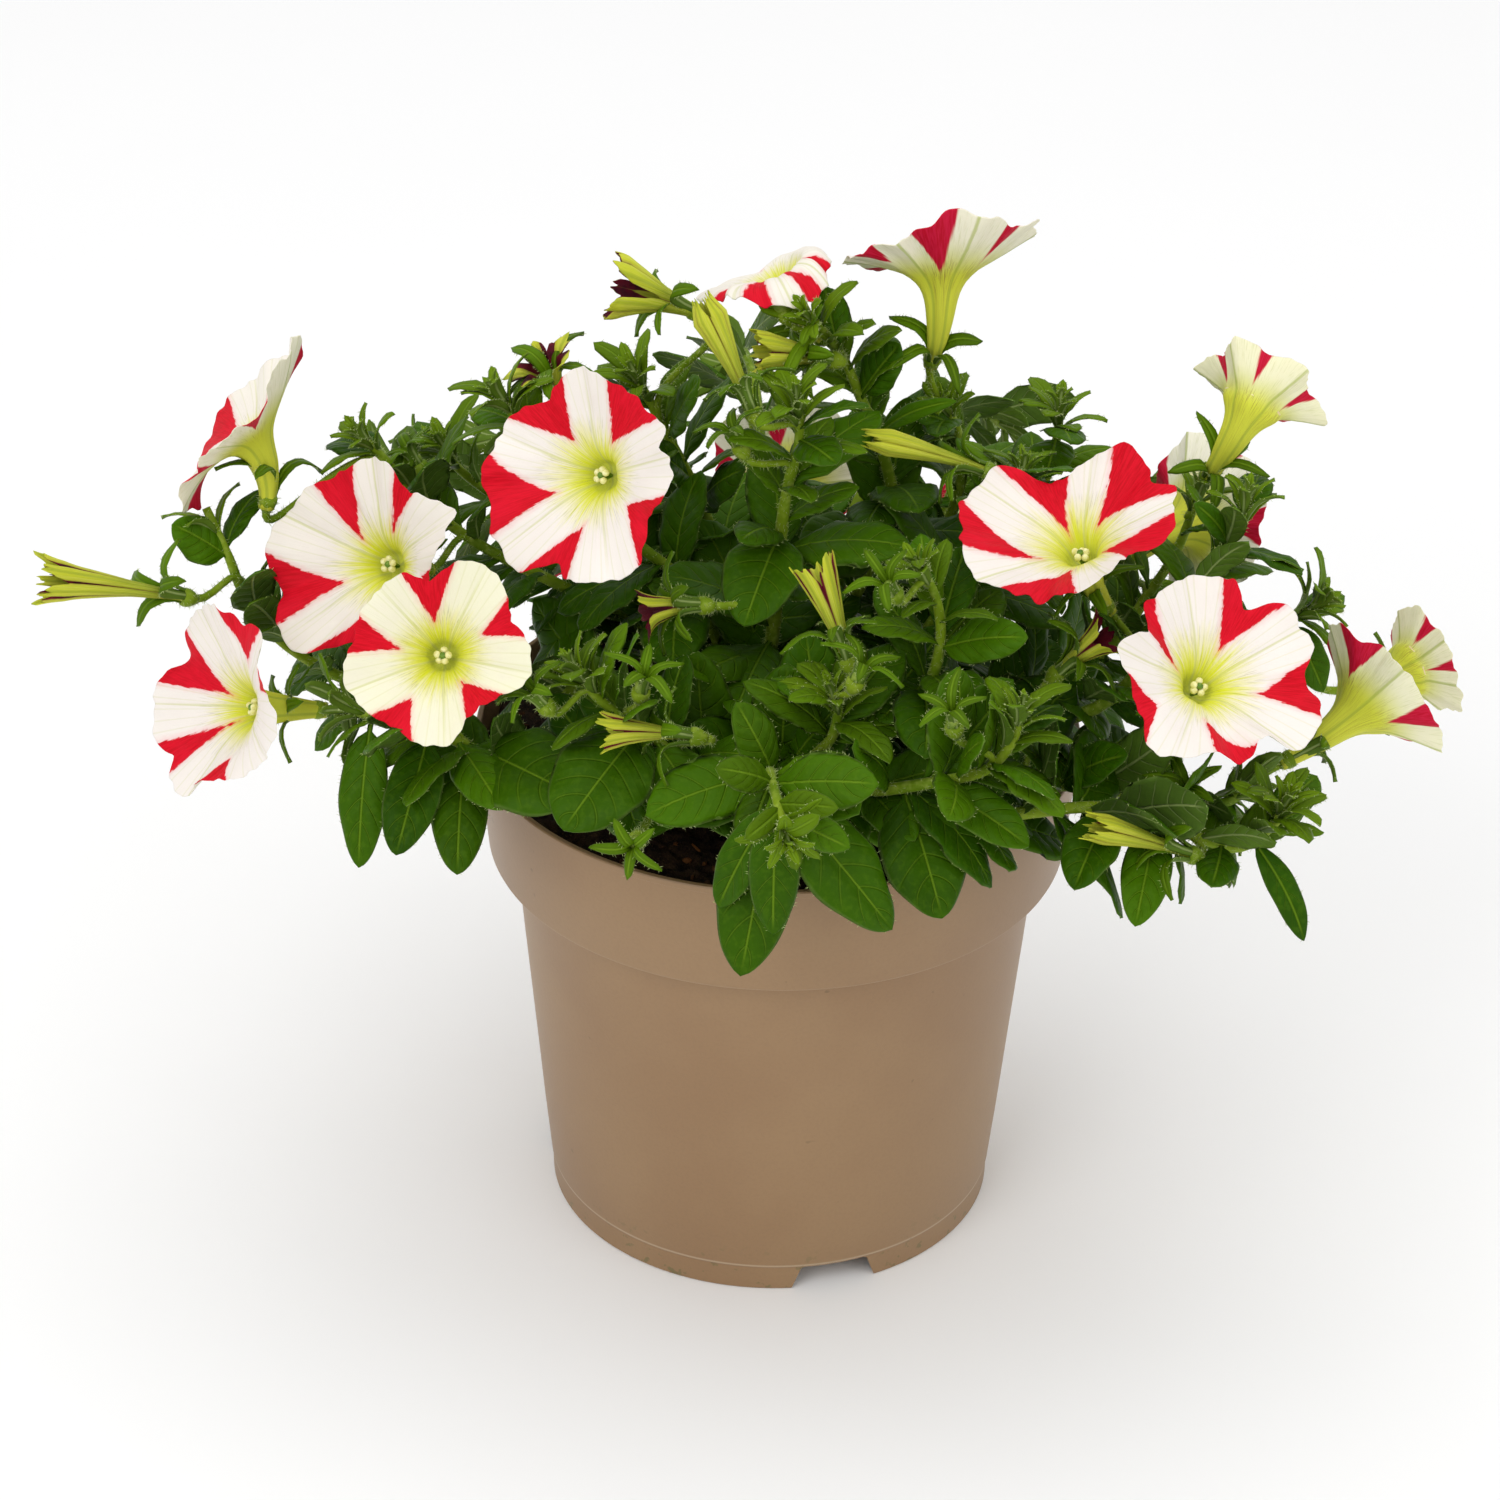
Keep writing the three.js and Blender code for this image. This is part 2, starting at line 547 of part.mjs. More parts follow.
// A point of the flower's face at a share of its radius, where the share 1 is the wavy edge
function facePoint(flower, angle, share) {
  const lobe = ((((angle - flower.turn) / 360) * LOBES) % 1 + 1) % 1;
  const swell = Math.pow(Math.sin(Math.PI * lobe), LOBE_ROUNDNESS);
  const reach = flower.radius * share * (1 - SINUS_DEPTH * (1 - swell) * share);
  const sag = Math.max(0, Math.cos(radians(angle - flower.droopSide)));
  const height = FACE_RISE * (share - 0.5) - flower.droop * sag * sag * share * share;
  const point = plus(flower.middle, flower.first, reach * Math.cos(radians(angle)));
  point.addScaledVector(flower.second, reach * Math.sin(radians(angle)));
  return point.addScaledVector(flower.axis, height);
}

// A funnel-shaped corolla, hollow down to the middle of its funnel
function corolla(flower, grow) {
  const { line, axis } = flower;
  const angles = Array.from({ length: PETAL_SIDES }, (_, i) => (360 * i) / PETAL_SIDES + flower.turn);
  const section = (t, radius) => {
    const centre = line.getPoint(t);
    const along = line.getTangent(t);
    const first = acrossTo(flower.first, along);
    const second = crossOf(along, first);
    return angles.map((angle) => {
      const point = plus(centre, first, radius * Math.cos(radians(angle)));
      return point.addScaledVector(second, radius * Math.sin(radians(angle)));
    });
  };
  const half = PETAL_THICKNESS / 2 + grow;
  const raised = (share, lift, extra) =>
    angles.map((angle) => {
      const point = facePoint(flower, angle, share);
      const out = unit(minus(point, flower.middle));
      return plus(plus(point, axis, lift), out, extra);
    });
  const seat = seatOf(line);
  return loft([
    section(seat, TUBE_RADIUS + grow),
    section(THROAT_DEPTH, NECK_RADIUS + grow),
    section(FLARE_PLACE, FLARE_RADIUS + grow),
    raised(0.6, -half, 0),
    raised(1, 0, grow),
    raised(0.5, half, 0),
    section(FLARE_PLACE, FLARE_RADIUS - THROAT_WALL - grow),
    [line.getPoint(THROAT_DEPTH + grow / line.getLength())],
  ]);
}

function fadedOf([name, calyx, tip, radius, stem]) {
  const base = at(calyx);
  const end = at(tip);
  const line = new THREE.QuadraticBezierCurve3(base, plus(base.clone().lerp(end, 0.5), UP, 2), end);
  return { name, line, radius, stem };
}

const fadedFlowers = FADED_FLOWERS.map(fadedOf);

// A closed, furled corolla
function furled({ line, radius }, grow) {
  const seat = seatOf(line);
  const sections = [[seat, TUBE_RADIUS], [0.45, 0.62 * radius], [0.78, radius], [0.95, 0.75 * radius]];
  const ring = ([t, r]) => ringAround(line.getPoint(t), line.getTangent(t), r + grow, FURLED_SIDES);
  const rings = sections.map(ring);
  return loft([...rings, [plus(line.getPoint(1), line.getTangent(1), grow)]]);
}

// Ten corners round a line, every other one a leaf or sepal tip where the two radii differ
function starRing(middle, way, [valleyRadius, valleyHeight], [tipRadius, tipHeight], grow) {
  const first = unit(crossOf(way, LEAF_REFERENCE));
  const second = crossOf(way, first);
  return Array.from({ length: 2 * LOBES }, (_, i) => {
    const angle = (Math.PI * i) / LOBES;
    const out = plus(first.clone().multiplyScalar(Math.cos(angle)), second, Math.sin(angle));
    const radius = i % 2 === 0 ? tipRadius : valleyRadius;
    const height = i % 2 === 0 ? tipHeight : valleyHeight;
    return plus(plus(middle, way, height), out, radius + grow);
  });
}

// A cup whose edge is drawn out into five points: sepals round a flower, or young leaves round a shoot's tip
function cupRings(base, way, spread, length, grow) {
  const wall = [CUP_RADIUS, CUP_HEIGHT];
  const valley = [CUP_RADIUS + 0.2, CUP_HEIGHT + 1];
  const point = [spread, length + 2 * grow];
  return [
    starRing(base, way, wall, wall, grow),
    starRing(base, way, valley, point, grow),
    [plus(base, way, CUP_FLOOR + grow)],
  ];
}

// The stalk from a stem to a base, ending in a cup
function stalkWithCup(stem, base, way, spread, length, grow) {
  const from = nearestAlong(stem, base);
  const start = onStem(stem, from);
  const reach = start.distanceTo(base) * STALK_EASE;
  const bend = plus(start, stem.curve.getTangent(from), reach);
  const stalk = new THREE.CubicBezierCurve3(start, bend, plus(base, way, -reach), base);
  const steps = Math.max(2, Math.round(stalk.getLength() / STALK_STEP));
  const round = [STALK_RADIUS, 0];
  const rings = Array.from({ length: steps + 1 }, (_, i) =>
    starRing(stalk.getPoint(i / steps), stalk.getTangent(i / steps), round, round, grow),
  );
  return loft([...rings, ...cupRings(base, way, spread, length, grow)]);
}

// The bunch of young leaves that ends a stem
function stemTip(stem, grow) {
  const base = stem.curve.getPoint(1);
  const way = stem.curve.getTangent(1);
  const foot = [STEM_TIP_RADIUS, -2];
  return loft([starRing(base, way, foot, foot, grow), ...cupRings(base, way, TIP_SPREAD, TIP_LENGTH, grow)]);
}

// Side twigs, each from its stem to a cup of its own
function twigOf([stemName, place, facing, length]) {
  return { stemName, base: at(place), way: axisOf(facing), length };
}

const twigs = TWIGS.map(twigOf);

// Keeping leaves clear of what is already in place

const taken = [];

function take(points, radius, owner) {
  points.forEach((point) => taken.push({ point, radius, owner }));
}

function isFree(point, owner) {
  return taken.every(
    (other) => other.owner === owner || other.point.distanceTo(point) > other.radius + LEAF_CLEARANCE,
  );
}

function pointsAlong(curve, spacing) {
  const count = Math.max(2, Math.round(curve.getLength() / spacing));
  return Array.from({ length: count + 1 }, (_, i) => curve.getPoint(i / count));
}

// A flower's face, as it shows in the picture, isn't covered by a small leaf in front of it
function hidesFlower(point) {
  const [u, v] = pictureOf(point);
  return flowers.some((flower) => {
    const [fu, fv] = pictureOf(flower.middle);
    const nearer = minus(point, flower.middle).dot(VIEW.forward) < 6;
    return nearer && flower.axis.dot(VIEW.forward) < 0.2 && Math.hypot(u - fu, v - fv) < flower.radius * 3;
  });
}

for (let angle = 0; angle < 360; angle += RIM_POINT_ANGLE) {
  const x = RIM_RADIUS * Math.cos(radians(angle));
  const y = RIM_RADIUS * Math.sin(radians(angle));
  take([new THREE.Vector3(x, y, POT_HEIGHT), new THREE.Vector3(x, y, POT_HEIGHT - 6)], 2, "pot");
}
stems.forEach((stem) => take(pointsAlong(stem.curve, 7), stem.radius, "stem " + stem.name));
twigs.forEach(({ base, way, length, stemName }) => {
  take([base, plus(base, way, length)], 3, "stem " + stemName);
});
flowers.forEach((flower) => {
  take(pointsAlong(flower.line, 7), 3, "flower " + flower.name);
  [0.45, 0.95].forEach((share) => {
    for (let angle = 0; angle < 360; angle += share < 0.5 ? 60 : 30) {
      take([facePoint(flower, angle, share)], 4, "flower " + flower.name);
    }
  });
});
fadedFlowers.forEach((faded) => take(pointsAlong(faded.line, 6), faded.radius, "faded " + faded.name));

// Large leaves first, each from the stem's middle line to its own tip
function placedLeaf(stemName, where, tip, width, arch) {
  const stem = stems.get(stemName);
  const base = onStem(stem, nearestInPicture(stem, where));
  const end = at(tip);
  const way = unit(minus(end, base));
  return { base, tip: end, width, arch, face: acrossTo(LEAF_FACE, way) };
}

const stemLeaves = new Map(STEMS.map(([name]) => [name, []]));
STEM_LEAVES.forEach(([stemName, where, tip, width, arch]) => {
  const leaf = placedLeaf(stemName, where, tip, width, arch);
  stemLeaves.get(stemName).push({ ...leaf, shape: FULL_LEAF });
  take(pointsAlong(leafLine(leaf), 8).slice(1), 3, "leaf");
});
const ownLeaves = OWN_LEAVES.map(([name, stemName, where, tip, width, arch]) => {
  const leaf = placedLeaf(stemName, where, tip, width, arch);
  take(pointsAlong(leafLine(leaf), 8).slice(1), 5, "leaf");
  return { ...leaf, name, stemName };
});

// Then the small leaves, round each stem from its lower part to its tip, where there is room
function growLeaves(stem) {
  const leaves = stemLeaves.get(stem.name);
  let azimuth = 360 * stem.random();
  for (let k = 0; k < stem.leafCount; k++) {
    const t = stem.leafStart + ((0.97 - stem.leafStart) * (k + 0.5)) / stem.leafCount;
    const lowness = LOW_LEAF_SHARE - (LEAF_SHRINK * k) / stem.leafCount;
    const size = stem.leafLength * lowness * (0.85 + 0.3 * stem.random());
    const shade = stem.random();
    azimuth += GOLDEN_ANGLE;
    const base = onStem(stem, t);
    const along = stem.curve.getTangent(t);
    const first = unit(crossOf(along, LEAF_REFERENCE));
    const second = crossOf(along, first);
    for (let attempt = 0; attempt < LEAF_TRIES; attempt++) {
      const angle = radians(azimuth + LEAF_TRY_TURN * attempt);
      const spread = radians(LEAF_SLANT + LEAF_SLANT_SPREAD * shade);
      const out = plus(first.clone().multiplyScalar(Math.cos(angle)), second, Math.sin(angle));
      const way = plus(along.clone().multiplyScalar(Math.cos(spread)), out, Math.sin(spread));
      way.z -= LEAF_WEIGHT;
      way.normalize();
      const tip = plus(base, way, size);
      const face = acrossTo(plus(along, UP, 0.7), way);
      const width = size * (LEAF_SLIMNESS + LEAF_FULLNESS * shade);
      const leaf = { base, tip, width, arch: LEAF_ARCH * size, face };
      const line = leafLine(leaf);
      const tests = [0.28, 0.5, 0.75, 1].map((s) => line.getPoint(s));
      const owner = "stem " + stem.name;
      const allowed = tests.every((point) => isFree(point, owner) && !hidesFlower(point));
      if (allowed && isInsideOutline(pictureOf(tip)) && tip.z > SOIL_Z - 6) {
        leaves.push({ ...leaf, shape: SMALL_LEAF });
        take(tests, 2.5, "leaf");
        break;
      }
    }
  }
}

stems.forEach(growLeaves);

// A stem with its tip and the stalks, calyxes and twigs it bears
function stemFrame(stem, grow) {
  const body = rod(stem.curve, stem.radius, STEM_TIP_RADIUS, stem.steps, STEM_SIDES, grow);
  const pieces = [body, stemTip(stem, grow)];
  twigs
    .filter((twig) => twig.stemName === stem.name)
    .forEach(({ base, way, length }) => {
      pieces.push(stalkWithCup(stem, base, way, TWIG_SPREAD * length, length, grow));
    });
  [...flowers, ...fadedFlowers]
    .filter((flower) => flower.stem === stem.name)
    .forEach(({ line }) => {
      const way = line.getTangent(0);
      pieces.push(stalkWithCup(stem, line.getPoint(0), way, SEPAL_SPREAD, SEPAL_LENGTH, grow));
    });
  return wasm.Manifold.union(pieces);
}

const frames = Array.from(stems.values(), (stem) => {
  const plain = stemFrame(stem, 0);
  const middle = stemFrame(stem, GAP / 2);
  const grown = stemFrame(stem, GAP);
  return { stem, plain, middle, grown, box: grown.boundingBox() };
});

// All that grows as one piece with a stem, its leaves cut where another stem passes
function leafyStem(stem, grow) {
  const own = frames.find((frame) => frame.stem === stem);
  let leaves = wasm.Manifold.union(stemLeaves.get(stem.name).map((leaf) => blade(leaf, leaf.shape, grow)));
  const box = leaves.boundingBox();
  const others = frames.filter((frame) => frame !== own && boxesMeet(frame.box, box));
  others.forEach((frame) => {
    leaves = leaves.subtract(grow > 0 ? frame.middle : frame.grown);
  });
  return (grow > 0 ? own.grown : own.plain).add(leaves);
}

// Pot

function lathe(profile, sides) {
  const points = profile.map(([radius, z]) => new THREE.Vector2(radius, z));
  return new THREE.LatheGeometry(points, sides).rotateX(Math.PI / 2);
}

function archCutter(angle) {
  const half = [ARCH_BOTTOM_WIDTH / 2, ARCH_TOP_WIDTH / 2];
  const shape = new THREE.Shape();
  shape.moveTo(-half[0] - 1, -3);
  shape.lineTo(half[0] + 1, -3);
  shape.lineTo(half[1] + 0.5, ARCH_HEIGHT - ARCH_CORNER);
  shape.quadraticCurveTo(half[1], ARCH_HEIGHT, half[1] - ARCH_CORNER, ARCH_HEIGHT);
  shape.lineTo(-half[1] + ARCH_CORNER, ARCH_HEIGHT);
  shape.quadraticCurveTo(-half[1], ARCH_HEIGHT, -half[1] - 0.5, ARCH_HEIGHT - ARCH_CORNER);
  const options = { depth: ARCH_REACH, bevelEnabled: false, curveSegments: 3 };
  const geometry = new THREE.ExtrudeGeometry(shape, options);
  geometry.rotateX(Math.PI / 2);
  geometry.translate(0, ARCH_INSET - FOOT_RADIUS, 0);
  return solidOfGeometry(geometry.rotateZ(radians(angle + 90)));
}

function potProfile(grow) {
  const wall = POT_WALL + grow;
  const wallTop = WALL_TOP_RADIUS - wall;
  const skirt = FOOT_RADIUS - FOOT_WALL - grow;
  const ledgeZ = COLLAR_Z + wall;
  const underside = [[0, FLOOR_TOP_Z - wall], [skirt, FLOOR_TOP_Z - wall]];
  const outside = [
    [skirt, -grow],
    [FOOT_RADIUS + grow, -grow],
    [FOOT_RADIUS + FOOT_FLARE + grow, STEP_Z - STEP_CHAMFER],
    [STEP_RADIUS + grow, STEP_Z],
    [WALL_TOP_RADIUS + grow, COLLAR_Z - grow],
    [COLLAR_RADIUS + grow, COLLAR_Z - grow],
    [RIM_RADIUS + grow, POT_HEIGHT + grow],
  ];
  const inside = [
    [RIM_RADIUS - wall, POT_HEIGHT + grow],
    [COLLAR_RADIUS - wall, ledgeZ],
    [wallTop, ledgeZ],
    [STEP_RADIUS - wall, FLOOR_TOP_Z + grow],
    [0, FLOOR_TOP_Z + grow],
  ];
  return [...underside, ...outside, ...inside];
}

// The pot with arches through its foot and drain holes through its floor
function potSolid() {
  let solid = solidOfGeometry(lathe(potProfile(0), POT_SIDES));
  for (let i = 0; i < ARCH_COUNT; i++) {
    solid = solid.subtract(archCutter(ARCH_ANGLE + (360 * i) / ARCH_COUNT));
  }
  for (let i = 0; i < DRAIN_COUNT; i++) {
    const angle = radians((360 * (i + 0.5)) / DRAIN_COUNT + ARCH_ANGLE);
    const x = DRAIN_RING_RADIUS * Math.cos(angle);
    const y = DRAIN_RING_RADIUS * Math.sin(angle);
    const drain = new THREE.CylinderGeometry(DRAIN_RADIUS, DRAIN_RADIUS, DRAIN_CUT, DRAIN_SIDES);
    solid = solid.subtract(solidOfGeometry(drain.rotateX(Math.PI / 2).translate(x, y, FLOOR_TOP_Z - 1)));
  }
  return solid;
}

// Peat filling the pot to a little below the rim, with a lightly uneven top
function soilSolid() {
  const inside = STEP_RADIUS - POT_WALL - SOIL_GAP;
  const ledgeZ = COLLAR_Z + POT_WALL + SOIL_GAP;
  const collar = COLLAR_RADIUS - POT_WALL - SOIL_GAP;
  const slope = (RIM_RADIUS - COLLAR_RADIUS) / (POT_HEIGHT - COLLAR_Z);
  const edge = collar + slope * (SOIL_Z - ledgeZ);
  const profile = [
    [0, FLOOR_TOP_Z + SOIL_GAP],
    [inside, FLOOR_TOP_Z + SOIL_GAP],
    [WALL_TOP_RADIUS - POT_WALL - SOIL_GAP, ledgeZ],
    [collar, ledgeZ],
    [edge, SOIL_Z - SOIL_CROWN],
    [0.6 * edge, SOIL_Z],
    [0, SOIL_Z + SOIL_CROWN],
  ];
  return solidOfGeometry(lathe(profile, SOIL_SIDES));
}

// Assembly: each piece is cut clear of the ones before it, and keeps its largest part

const plant = new THREE.Group();
const placed = [];

function meshOf(name, solid, colour, roughness) {
  const { numProp, vertProperties, triVerts } = solid.getMesh();
  const positions = new Float32Array((vertProperties.length / numProp) * 3);
  for (let i = 0; i < positions.length / 3; i++) {
    positions.set(vertProperties.subarray(i * numProp, i * numProp + 3), i * 3);
  }
  const geometry = new THREE.BufferGeometry();
  geometry.setAttribute("position", new THREE.BufferAttribute(positions, 3));
  geometry.setIndex(new THREE.BufferAttribute(triVerts, 1));
  const facets = geometry.toNonIndexed();
  facets.computeVertexNormals();
  const material = new THREE.MeshStandardMaterial({ color: colour, roughness, metalness: 0 });
  const mesh = new THREE.Mesh(facets, material);
  mesh.name = name;
  return mesh;
}

function largestPart(solid) {
  const parts = solid.decompose();
  return parts.reduce((best, part) => (part.volume() > best.volume() ? part : best));
}

function add(name, build, colour, roughness) {
  let solid = build(0);
  const near = placed.filter((other) => boxesMeet(other.box, solid.boundingBox()));
  if (near.length > 0) solid = solid.subtract(wasm.Manifold.union(near.map((other) => other.grown)));
  solid = largestPart(solid.simplify(SHORTEST_EDGE));
  const grown = build(GAP);
  placed.push({ grown, box: grown.boundingBox() });
  plant.add(meshOf(name, solid, colour, roughness));
}

const potClearance = solidOfGeometry(lathe(potProfile(GAP), POT_SIDES));
plant.add(meshOf("pot", potSolid(), POT_COLOUR, 0.55));
placed.push({ grown: potClearance, box: potClearance.boundingBox() });
flowers.forEach((flower) => {
  add("flower_" + flower.name, (grow) => corolla(flower, grow), FLOWER_COLOUR, 0.6);
});
fadedFlowers.forEach((faded) => {
  add("faded_flower_" + faded.name, (grow) => furled(faded, grow), FADED_COLOUR, 0.7);
});
stems.forEach((stem) => {
  add("leafy_stem_" + stem.name, (grow) => leafyStem(stem, grow), STEM_COLOUR, 0.65);
});
ownLeaves.forEach((leaf) => {
  add("leaf_" + leaf.name, (grow) => blade(leaf, FULL_LEAF, grow), LEAF_COLOUR, 0.6);
});
add("potting_soil", () => soilSolid(), SOIL_COLOUR, 0.95);

export default plant;
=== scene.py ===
import math

import bpy
import numpy as np
from mathutils import Matrix, Vector


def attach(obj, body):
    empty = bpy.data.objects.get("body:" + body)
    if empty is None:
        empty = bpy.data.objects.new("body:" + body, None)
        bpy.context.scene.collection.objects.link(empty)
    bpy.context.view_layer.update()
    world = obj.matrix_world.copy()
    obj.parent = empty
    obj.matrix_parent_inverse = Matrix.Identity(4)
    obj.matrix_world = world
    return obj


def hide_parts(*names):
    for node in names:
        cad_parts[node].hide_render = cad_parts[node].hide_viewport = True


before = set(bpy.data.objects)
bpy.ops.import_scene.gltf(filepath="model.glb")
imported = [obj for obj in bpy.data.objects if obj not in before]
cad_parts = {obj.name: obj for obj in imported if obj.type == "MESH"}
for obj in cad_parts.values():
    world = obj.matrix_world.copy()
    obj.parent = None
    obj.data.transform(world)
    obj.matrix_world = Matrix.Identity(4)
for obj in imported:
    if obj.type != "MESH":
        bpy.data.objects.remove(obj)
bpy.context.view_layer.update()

# Potted petunia with red and white striped flowers, in a round taupe plastic pot.
# Lengths are in millimetres and become metres when a mesh is made.
MM = 0.001

# Pot
RIM_RADIUS = 95
POT_HEIGHT = 166.5
COLLAR_Z = 128.1
COLLAR_RADIUS = 91.3
WALL_TOP_RADIUS = 83.1
STEP_Z = 9.2
STEP_RADIUS = 71.9
FOOT_LINE_Z = 9.5
FOOT_RADIUS = 71.2
POT_WALL = 1.8
FOOT_WALL = 2.2
FLOOR_TOP_Z = 11
ARCH_COUNT = 3
ARCH_ANGLE = -72.4
ARCH_TOP_WIDTH = 22
ARCH_BOTTOM_WIDTH = 28
ARCH_HEIGHT = 8.6
ARCH_CORNER = 2
DRAIN_COUNT = 6
DRAIN_RADIUS = 5
DRAIN_RING_RADIUS = 56
SOIL_Z = 159
SOIL_GAP = 0.5
SOCKET_DEPTH = 9
LOWEST_TIP = SOIL_Z - 6

# Flowers and calyxes
LOBES = 5
SHORTEST_FUNNEL = 30
LONGEST_FUNNEL = 40
FUNNEL_BEND = 0.6
SINUS_DEPTH = 0.15
LOBE_ROUNDNESS = 0.6
FACE_RISE = 1.5
STALK_SET_BACK = 0.5
STALK_EASE = 0.4
LOWEST_SHOOT = 0.15

# Leaves: the turn from one to the next and the slant from the stem, in degrees, then shares of the length
GOLDEN_ANGLE = 137.5
LEAF_SLANT = 52
LEAF_SLANT_SPREAD = 14
LEAF_SLIMNESS = 0.45
LEAF_FULLNESS = 0.12
LEAF_ARCH = 0.14
LEAF_WEIGHT = 0.12
LOW_LEAF_SHARE = 1.35
LEAF_SHRINK = 0.8
LEAF_TRIES = 9
LEAF_TRY_TURN = 40
LEAF_CLEARANCE = 4.5
LEAF_TESTS = (0.28, 0.5, 0.75, 1)
LAST_LEAF = 0.97
RIM_POINT_ANGLE = 4
STEM_TIP_RADIUS = 1.3
STEM_NECK_HEIGHT = 9
STEM_NECK_LEAN = 3
STEM_STEP = 28

# First seed of the chance variation of each kind of piece
FILL_SEED, STEM_SEED, FLOWER_SEED, FADED_SEED, OWN_LEAF_SEED = 500, 100, 900, 700, 60
SOIL_SEED, SOIL_BIT_SEED = 31, 77

# Viewpoint: places are given as u to the right and v down in a square picture, and y back from it
EYE = np.array([0, -1392.1, 1011.7])
VIEW_PITCH = 31.52
VIEW_YAW = -0.36
VIEW_ROLL = 1.0
FOCAL_PIXELS = 5186
PICTURE_SIDE = 1500
PICTURE_MIDDLE = 750
# About how far a millimetre of the plant reaches in the picture
PICTURE_SCALE = 3

# Stems: name, root angle and distance on the soil, thickness, leaves from, leaves, leaf length, route
STEMS = [
    ("far_left", 186, 32, 2.3, 0.32, 4, 30,
     [(650, 700, -15), (520, 688, -20), (390, 692, -25), (300, 655, -25),
      (250, 605, -22), (228, 555, -20), (206, 508, -15)]),
    ("left_front", 212, 34, 2.2, 0.2, 4, 36,
     [(640, 765, -55), (520, 765, -68), (430, 730, -72), (372, 716, -70), (346, 708, -66)]),
    ("left_back", 168, 30, 2.3, 0.22, 4, 34,
     [(650, 630, 5), (560, 585, 5), (480, 545, 3), (420, 500, 3), (385, 460, 5), (360, 434, 5)]),
    ("left_top", 150, 30, 2.2, 0.22, 4, 32,
     [(670, 600, 22), (580, 545, 25), (510, 505, 25), (460, 470, 25), (442, 442, 25)]),
    ("upper_left", 138, 18, 2.3, 0.22, 4, 32,
     [(700, 600, -8), (620, 530, -12), (540, 450, -12), (497, 392, -10)]),
    ("top_left", 112, 24, 2.3, 0.22, 4, 32,
     [(735, 600, 18), (700, 500, 22), (662, 425, 22), (634, 372, 20)]),
    ("centre", 180, 8, 2.7, 0.2, 4, 38,
     [(770, 650, -14), (780, 545, -28), (787, 490, -33), (799, 440, -34), (797, 398, -34)]),
    ("top", 75, 26, 2.6, 0.22, 4, 34,
     [(830, 640, 8), (882, 540, 10), (893, 498, 8), (877, 435, 8),
      (861, 398, 10), (840, 352, 6), (808, 314, -2)]),
    ("top_right", 52, 34, 2.4, 0.26, 4, 30,
     [(885, 630, 26), (940, 540, 28), (962, 475, 26), (957, 430, 24), (943, 403, 22)]),
    ("right_bud", 30, 22, 2.2, 0.22, 4, 32,
     [(895, 670, -8), (955, 590, -14), (1000, 530, -14), (1018, 490, -12), (1024, 466, -10)]),
    ("right_top", 28, 34, 2.3, 0.26, 4, 32,
     [(930, 630, 24), (1000, 545, 26), (1040, 490, 26), (1056, 442, 24), (1060, 404, 24)]),
    ("right_up", 8, 26, 2.4, 0.3, 4, 30,
     [(950, 715, -22), (1050, 690, -26), (1115, 640, -22),
      (1147, 596, -16), (1178, 548, -8), (1201, 486, -4)]),
    ("right_side", 352, 34, 2.4, 0.32, 4, 30,
     [(980, 735, -38), (1100, 706, -48), (1165, 632, -46), (1206, 572, -34),
      (1228, 545, -30), (1243, 522, -28), (1247, 497, -26)]),
    ("right_low", 338, 34, 2.3, 0.22, 4, 32,
     [(960, 785, -58), (1060, 785, -66), (1150, 796, -64), (1220, 803, -58), (1250, 788, -52)]),
    ("far_right", 14, 36, 2.3, 0.32, 4, 28,
     [(980, 690, 14), (1110, 670, 12), (1220, 645, 12), (1290, 620, 12), (1320, 602, 12)]),
    ("right_bottom", 322, 36, 2.3, 0.22, 4, 32,
     [(930, 825, -80), (1030, 812, -88), (1110, 808, -86), (1180, 830, -84),
      (1235, 848, -86), (1272, 826, -88), (1286, 800, -90)]),
    ("front_right", 308, 28, 2.2, 0.26, 4, 28,
     [(860, 790, -84), (930, 783, -102), (985, 770, -108), (1012, 742, -108), (1022, 710, -106)]),
    ("front_centre", 270, 34, 2.3, 0.26, 4, 32,
     [(780, 785, -78), (770, 772, -104), (777, 800, -128), (786, 838, -144)]),
    ("centre_right", 330, 10, 2.3, 0.22, 4, 30,
     [(860, 720, -50), (922, 690, -64), (940, 645, -68), (936, 598, -68), (918, 566, -68)]),
    ("centre_front", 288, 14, 2.2, 0.22, 4, 32,
     [(806, 760, -66), (830, 740, -82), (838, 712, -86), (833, 692, -86)]),
    ("front_left", 236, 26, 2.2, 0.22, 4, 32,
     [(690, 765, -72), (650, 735, -82), (600, 700, -84), (575, 668, -82)]),
    ("behind_left", 128, 36, 2.3, 0.2, 3, 38,
     [(690, 540, 52), (610, 452, 90), (540, 428, 118), (490, 442, 136)]),
    ("behind", 92, 36, 2.3, 0.2, 3, 38,
     [(765, 500, 55), (756, 395, 90), (744, 352, 118), (735, 368, 140)]),
    ("behind_right", 66, 40, 2.3, 0.2, 3, 38,
     [(850, 520, 56), (918, 425, 90), (975, 412, 118), (1012, 432, 138)]),
    ("behind_far_left", 150, 44, 2.2, 0.22, 3, 36,
     [(625, 590, 52), (520, 500, 80), (430, 466, 98), (386, 474, 108)]),
    ("behind_far_right", 36, 44, 2.2, 0.22, 3, 36,
     [(930, 590, 52), (1040, 502, 82), (1112, 482, 100), (1152, 500, 112)]),
]

